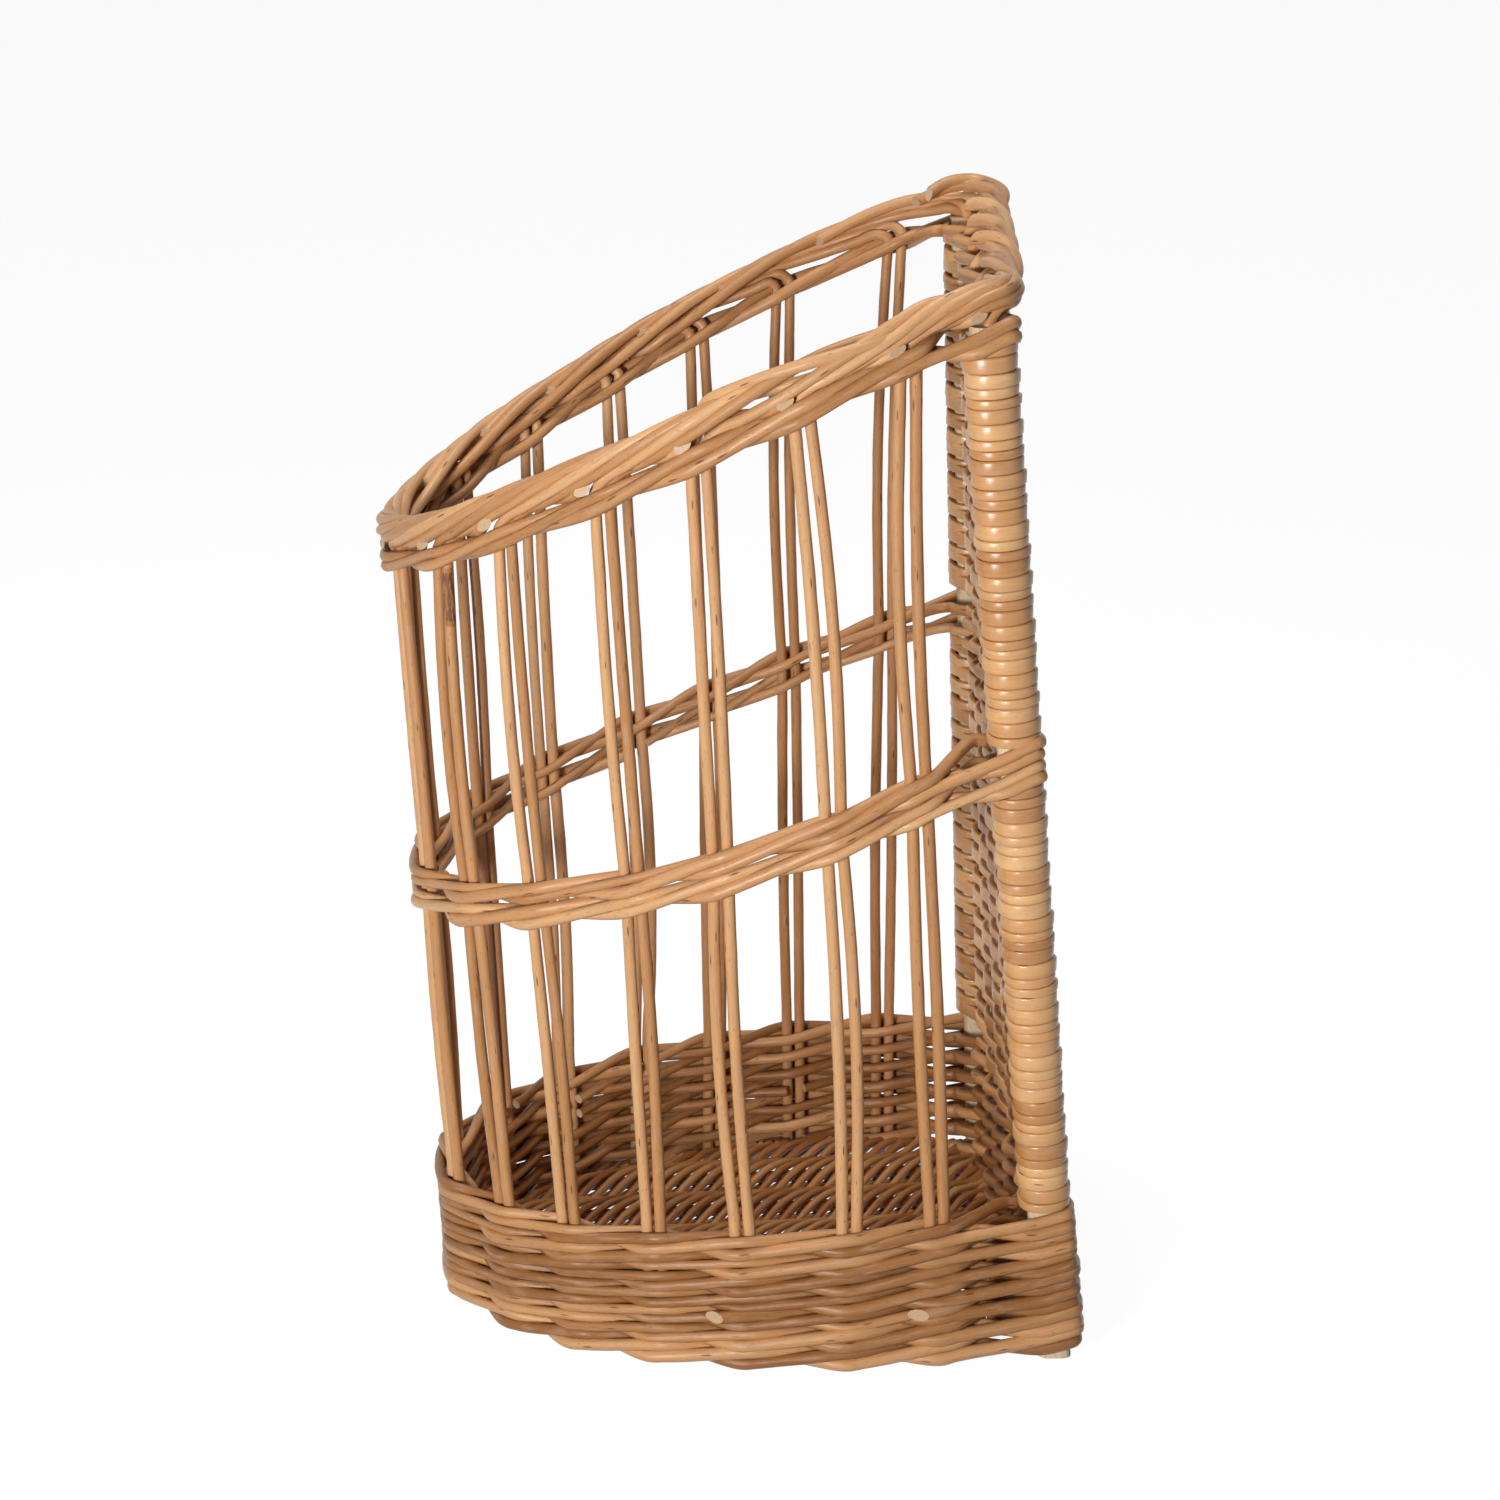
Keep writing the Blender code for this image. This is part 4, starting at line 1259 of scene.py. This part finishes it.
            radii.append(self.rod - self.loose_thinning * loosened)
            here += self.wind_step
        line, places = smooth_line(np.array(points), self.step)
        if side < 0:
            line, places = np.delete(line, (-3, -2), axis=0), np.delete(places, (-3, -2))
        girth = np.interp(places, np.arange(len(radii)), radii) * self.shop.between(*self.rod_sizes)
        _, out, _ = self.middle(last)
        cut = out * (self.outer_cut if side < 0 else self.inner_cut)
        return Rod(line, girth, np.full(len(line), tone), self.shop.far_start(), cut_end=cut)


# --------------------------------------------------------------------------------------- woven back


@dataclass
class StripLine:
    """A strip's middle line as it grows, with its facing and its breadth at each point."""

    points: list = field(default_factory=list)
    facings: list = field(default_factory=list)
    breadths: list = field(default_factory=list)

    def add(self, point: np.ndarray, facing: np.ndarray, breadth: float) -> None:
        """Add a point to the line's end."""
        self.points.append(point)
        self.facings.append(facing)
        self.breadths.append(breadth)


@dataclass
class BackWeave:
    """A stretch of the woven back: split strips that are wound round each post at the end of each row."""

    shop: Workshop
    name: str
    node: str
    low: float
    high: float
    wide: float = 0.0086
    narrow: float = 0.0056
    seam: float = 0.0002
    thickness: float = 0.0039
    clearance: float = 0.0001
    corner: float = 0.0090
    bulge: float = 0.0009
    bulge_half: float = 0.0050
    bulge_lean: float = 0.30
    tilt: float = 0.0010
    swell: float = 0.06
    ease: float = 3.0
    climb_start: float = 0.3
    climb_share: float = 0.4
    faces: int = 7
    tones: tuple = (0.1, 0.85)
    sizes: tuple = (0.93, 1.07)
    edge_radius: float = 0.0012
    waviness: float = 0.0005
    sides: int = 3
    step: float = 0.003

    def build(self) -> None:
        """Build the strips, row by row from the lowest."""
        widths = self._widths()
        order = [self.shop.ring.near_post] + self.shop.ring.back + [self.shop.ring.far_post]
        strip, tones = StripLine(), []
        height, side = self.low, 1.0
        for row, width in enumerate(widths):
            if row % 2 == 0:
                tone = self.shop.tone(*self.tones)
            middle = height + width / 2
            walk = order if row % 2 else order[::-1]
            sign = side
            for station in walk[1:-1]:
                sign = -sign
                out = station.out(middle)
                reach = station.half_depth + self.thickness / 2 + self.clearance
                strip.add(station.at(middle) + out * sign * reach, out, width)
            height += width + self.seam
            following = widths[row + 1] if row + 1 < len(widths) else width
            self._wind(walk[-1], walk[0], (middle, height + following / 2), (width, following), -sign, strip)
            tones += [tone] * (len(strip.points) - len(tones))
            side = sign
        line, places = smooth_line(np.array(strip.points), self.step)
        numbers = np.arange(len(strip.points))
        facings = np.array(strip.facings)
        facing = np.stack([np.interp(places, numbers, facings[:, axis]) for axis in range(3)], axis=1)
        facing /= np.linalg.norm(facing, axis=1)[:, None]
        breadth = np.interp(places, numbers, strip.breadths)
        rod = Rod(line, np.ones(len(line)), np.interp(places, numbers, tones), self.shop.far_start(), facing=facing,
                  breadth=breadth)
        self.shop.finish_piece(self.name, [rod], Slot.STRIP, [self.node], Section.FLAT, sides=self.sides,
                               width=self.wide, thickness=self.thickness, edge_radius=self.edge_radius,
                               swelling=0.0, waviness=self.waviness)

    def _widths(self) -> list[float]:
        """Return the rows' widths, which fill the stretch: two wide, two narrow and so on."""
        widths = []
        while sum(widths) + len(widths) * self.seam < self.high - self.low:
            base = self.wide if (len(widths) + 1) // 2 % 2 else self.narrow
            widths.append(base * self.shop.between(*self.sizes))
        share = (self.high - self.low - len(widths) * self.seam) / sum(widths)
        return [width * share for width in widths]

    def _wind(self, post: Station, start: Station, heights: tuple, widths: tuple, side: float,
              strip: StripLine) -> None:
        """Add the one and a half turns round a post that lead from a row up to the next.

        Args:
            post: The post that the strip is wound round.
            start: The post at the other end of the row.
            heights: The heights at which the strip arrives and leaves.
            widths: The strip's breadths there.
            side: 1 where it arrives behind the post, -1 where it arrives in front of it.
            strip: The line that is added to.
        """
        low = heights[0]
        swells = [self.shop.between(0.0, self.swell) for _ in range(2)]
        out = post.out(low)
        aside = unit((post.at(low) - start.at(low)) * np.array([1.0, 1.0, 0.0]))
        reach = post.half_depth + self.thickness / 2 + self.clearance
        bend = reach - self.corner * (1 - math.cos(math.pi / 4))
        turns = []
        for face in range(self.faces):
            angle = face * math.pi / 2
            spots = [(-self.bulge_half, reach, -self.bulge_lean), (0.0, reach + self.bulge, 0.0),
                     (self.bulge_half, reach, self.bulge_lean), (bend, bend, math.pi / 4)]
            for a, o, lean in spots[:-1] if face == self.faces - 1 else spots:
                turns.append((a * math.cos(angle) + o * math.sin(angle), o * math.cos(angle) - a * math.sin(angle),
                              angle + lean))
        whole = len(turns) - 1
        for number, (a, o, angle) in enumerate(turns):
            share = min(max((number / whole - self.climb_start) / self.climb_share, 0.0), 1.0)
            eased = min(1.0, number / self.ease, (whole - number) / self.ease)
            swell = 1 + swells[number > whole / 2] * eased
            spot = post.at(low) + (aside * a + out * o * side) * swell
            rise = (heights[1] - low) * share + self.tilt * o * side / reach * eased
            strip.add(spot + upwards(rise), aside * math.sin(angle) + out * math.cos(angle) * side,
                      widths[0] + (widths[1] - widths[0]) * share)


# ---------------------------------------------------------------------------------------------- floor


@dataclass
class Floor:
    """The woven floor: five sticks from front to back, with thin rods worked over and under them."""

    shop: Workshop
    sticks: int = 5
    spacing_share: float = 0.3286
    stick_radius: float = 0.0039
    rod_radius: float = 0.0026
    middle: float = 0.0134
    inset: float = 0.0068
    pitch: float = 0.0054
    near_slant: float = 0.20
    far_slant: float = 0.90
    bend_start: float = 0.085
    bend_length: float = 0.080
    back_room: float = 0.0062
    edge_fade: float = 0.024
    step: float = 0.004
    test_step: float = 0.001
    test_start: float = -0.05
    stick_inset: float = 0.004
    stick_back: float = -0.013
    stick_points: int = 60
    stick_sides: int = 10
    rod_sides: int = 8
    fewest: int = 5
    sizes: tuple = (0.90, 1.06)
    tones: tuple = (0.1, 0.8)

    def build(self) -> None:
        """Build the sticks and the woven rods."""
        spacing = self.spacing_share * self.shop.wall.sizes.half_width
        spots = [(i - (self.sticks - 1) / 2) * spacing for i in range(self.sticks)]
        for number, x in enumerate(spots):
            front = self._reach(np.array([x, self.test_start]), np.array([0.0, -self.test_step]))
            ends = np.linspace([x, front[1] + self.stick_inset], [x, self.stick_back], self.stick_points)
            line = np.array([self.shop.wall.leaned(spot, self.middle) for spot in ends])
            rod = self.shop.even_rod(line, self.stick_radius)
            name = f"floor_stick_{number + 1}"
            self.shop.finish_piece(f"willow_{name}", [rod], Slot.FLOOR, [name], sides=self.stick_sides)
        self.shop.finish_piece("floor_rods", self._rods(spots), Slot.FLOOR, ["floor_weaver"],
                               sides=self.rod_sides)

    def _clear(self, spot: np.ndarray) -> bool:
        """Return whether a floor point is inside the wall with room to spare."""
        if spot[1] > -self.back_room:
            return False
        aside = self.shop.wall.line - spot
        if np.linalg.norm(aside, axis=1).min() < self.inset:
            return False
        turned = np.unwrap(np.arctan2(aside[:, 1], aside[:, 0]))
        return abs(turned[-1] - turned[0]) > math.pi

    def _reach(self, spot: np.ndarray, step: np.ndarray) -> np.ndarray:
        """Return the furthest clear point from a spot, step by step."""
        while self._clear(spot + step):
            spot = spot + step
        return spot

    def _rods(self, spots: list[float]) -> list[Rod]:
        """Return the rods across the sticks, which bend to the back on their way to the far side."""
        rods = []
        swing = self.stick_radius + self.rod_radius
        wall = self.shop.wall
        half = wall.line[:, 0].max()
        across = np.arange(half, -half, -self.step)
        slants = np.interp(self.bend_start - across, (0.0, self.bend_length), (self.near_slant, self.far_slant))
        drift = np.cumsum(slants) * self.step
        waves = np.pi * (across - spots[0]) / (spots[1] - spots[0])
        for number in range(int((wall.sizes.depth + drift[-1]) / self.pitch)):
            plan = np.stack([across, drift - drift[-1] - wall.sizes.depth + number * self.pitch], axis=1)
            clear = [index for index, spot in enumerate(plan) if self._clear(spot)]
            if len(clear) < self.fewest:
                continue
            order = np.arange(len(clear)) * self.step
            fades = swing * (-1) ** number * np.clip(np.minimum(order, order[::-1]) / self.edge_fade, 0.0, 1.0)
            line = np.array([wall.leaned(plan[index], self.middle + fade * math.cos(waves[index]))
                             for index, fade in zip(clear, fades)])
            radius = self.rod_radius * self.shop.between(*self.sizes)
            rods.append(self.shop.even_rod(line, radius, self.tones))
        return rods


# --------------------------------------------------------------------------------------------- stage


@dataclass(frozen=True)
class Lamp:
    """A square soft lamp: its name, its place, the length of its side and its power in watts."""

    name: str
    place: tuple
    size: float
    power: float


@dataclass(frozen=True)
class StageSizes:
    """The floor, the lights and the camera."""

    floor_half: float = 6.0
    floor_glow: float = 0.945
    floor_colour: tuple = (0.15, 0.15, 0.15, 1.0)
    sky: float = 0.05
    lamps: tuple = (Lamp("key", (1.60, -0.95, 0.60), 0.36, 32.0), Lamp("fill", (1.50, 1.30, 0.75), 0.9, 3.5),
                    Lamp("top", (-0.2, -0.1, 2.2), 0.6, 19.0))
    aim: tuple = (0.0, 0.0, 0.3)
    camera: tuple = (2.0222, -0.1916, 1.0619)
    yaw: float = 0.1022
    pitch: float = 0.3412
    roll: float = 0.0010
    focal_pixels: float = 3585.0
    picture_pixels: float = 1500.0
    sensor: float = 36.0
    clip: tuple = (0.05, 50.0)


class Stage:
    """The plain floor, the soft light and the camera."""

    def __init__(self, sizes: StageSizes):
        """Keep the sizes."""
        self.sizes = sizes

    def build(self) -> None:
        """Build the floor, the world, the lamps and the camera."""
        self._floor()
        self._world()
        for lamp in self.sizes.lamps:
            self._lamp(lamp)
        self._camera()

    def _white_to_camera(self, bench: NodeBench) -> Socket:
        """Return 1 for the rays on which the background shows."""
        rays = bench.add("ShaderNodeLightPath").outputs
        seen = bench.math("MAXIMUM", rays["Is Camera Ray"], rays["Is Glossy Ray"])
        return bench.math("MAXIMUM", seen, rays["Is Transmission Ray"])

    def _floor(self) -> None:
        """Lay a pale floor that keeps the basket's shadow."""
        half = self.sizes.floor_half
        mesh = bpy.data.meshes.new("studio_floor")
        mesh.from_pydata([(-half, -half, 0), (half, -half, 0), (half, half, 0), (-half, half, 0)], [], [(0, 1, 2, 3)])
        floor = linked("studio_floor", mesh)
        material = bpy.data.materials.new("studio floor")
        bench = NodeBench.cleared(material)
        plain = bench.add("ShaderNodeBsdfDiffuse", {"Color": self.sizes.floor_colour})
        glow = bench.math("MULTIPLY", self._white_to_camera(bench), self.sizes.floor_glow)
        white = bench.add("ShaderNodeEmission", {"Strength": glow})
        both = bench.add("ShaderNodeAddShader", {0: plain.outputs[0], 1: white.outputs[0]})
        bench.add("ShaderNodeOutputMaterial", {"Surface": both.outputs[0]})
        mesh.materials.append(material)

    def _world(self) -> None:
        """Give the scene an even sky that is white to the camera."""
        world = bpy.data.worlds.new("studio")
        bpy.context.scene.world = world
        bench = NodeBench.cleared(world)
        seen = self._white_to_camera(bench)
        level = bench.math("MULTIPLY_ADD", seen, 1.0 - self.sizes.sky, self.sizes.sky)
        sky = bench.add("ShaderNodeBackground", {"Strength": level})
        bench.add("ShaderNodeOutputWorld", {"Surface": sky.outputs[0]})

    def _lamp(self, lamp: Lamp) -> None:
        """Hang a lamp that looks at the basket."""
        data = bpy.data.lights.new(lamp.name, "AREA")
        data.size = lamp.size
        data.energy = lamp.power
        aim = Vector(self.sizes.aim) - Vector(lamp.place)
        turn = aim.to_track_quat("-Z", "Y").to_matrix().to_4x4()
        linked(lamp.name, data).matrix_world = Matrix.Translation(lamp.place) @ turn

    def _camera(self) -> None:
        """Set up the camera of the photograph."""
        s = self.sizes
        level = math.cos(s.pitch)
        ahead = Vector((-level * math.cos(s.yaw), level * math.sin(s.yaw), -math.sin(s.pitch)))
        right = ahead.cross(Vector(upwards(1.0))).normalized()
        up = right.cross(ahead)
        turn = Matrix((right, up, -ahead)).transposed().to_4x4()
        data = bpy.data.cameras.new("photograph")
        data.sensor_width = s.sensor
        data.lens = s.focal_pixels / s.picture_pixels * s.sensor
        data.clip_start, data.clip_end = s.clip
        camera = linked("photograph", data)
        camera.matrix_world = Matrix.Translation(s.camera) @ turn @ Matrix.Rotation(s.roll, 4, "Z")
        bpy.context.scene.camera = camera


@dataclass(frozen=True)
class BackStretches:
    """How far the two stretches of the woven back keep from the bands, and the seed of all chance."""

    over_base: float = 0.0030
    off_middle: float = 0.0125
    under_border: float = 0.0045
    seed: int = 11


def main() -> None:
    """Build the basket's sub-assemblies in order, then the stage."""
    logging.basicConfig(level=logging.INFO, format="%(name)s: %(message)s")
    bpy.context.scene.view_settings.view_transform = "Standard"
    ring, stretches = Ring(Wall(WallSizes()), RingSizes()), BackStretches()
    shop = Workshop(ring, stretches.seed)
    stakes = Stakes(shop)
    stakes.build()
    BackFrame(shop).build()
    Waling(shop).build()
    Border(shop, stakes.tones).build()
    BackWeave(shop, "back_strips_lower", "back_weave_lower", ring.sizes.band_back + stretches.over_base,
              ring.middle.back - stretches.off_middle).build()
    BackWeave(shop, "back_strips_upper", "back_weave_upper", ring.middle.back + stretches.off_middle,
              ring.rim.back - ring.sizes.under_drop - stretches.under_border).build()
    Floor(shop).build()
    Stage(StageSizes()).build()


if __name__ == "__main__":
    main()
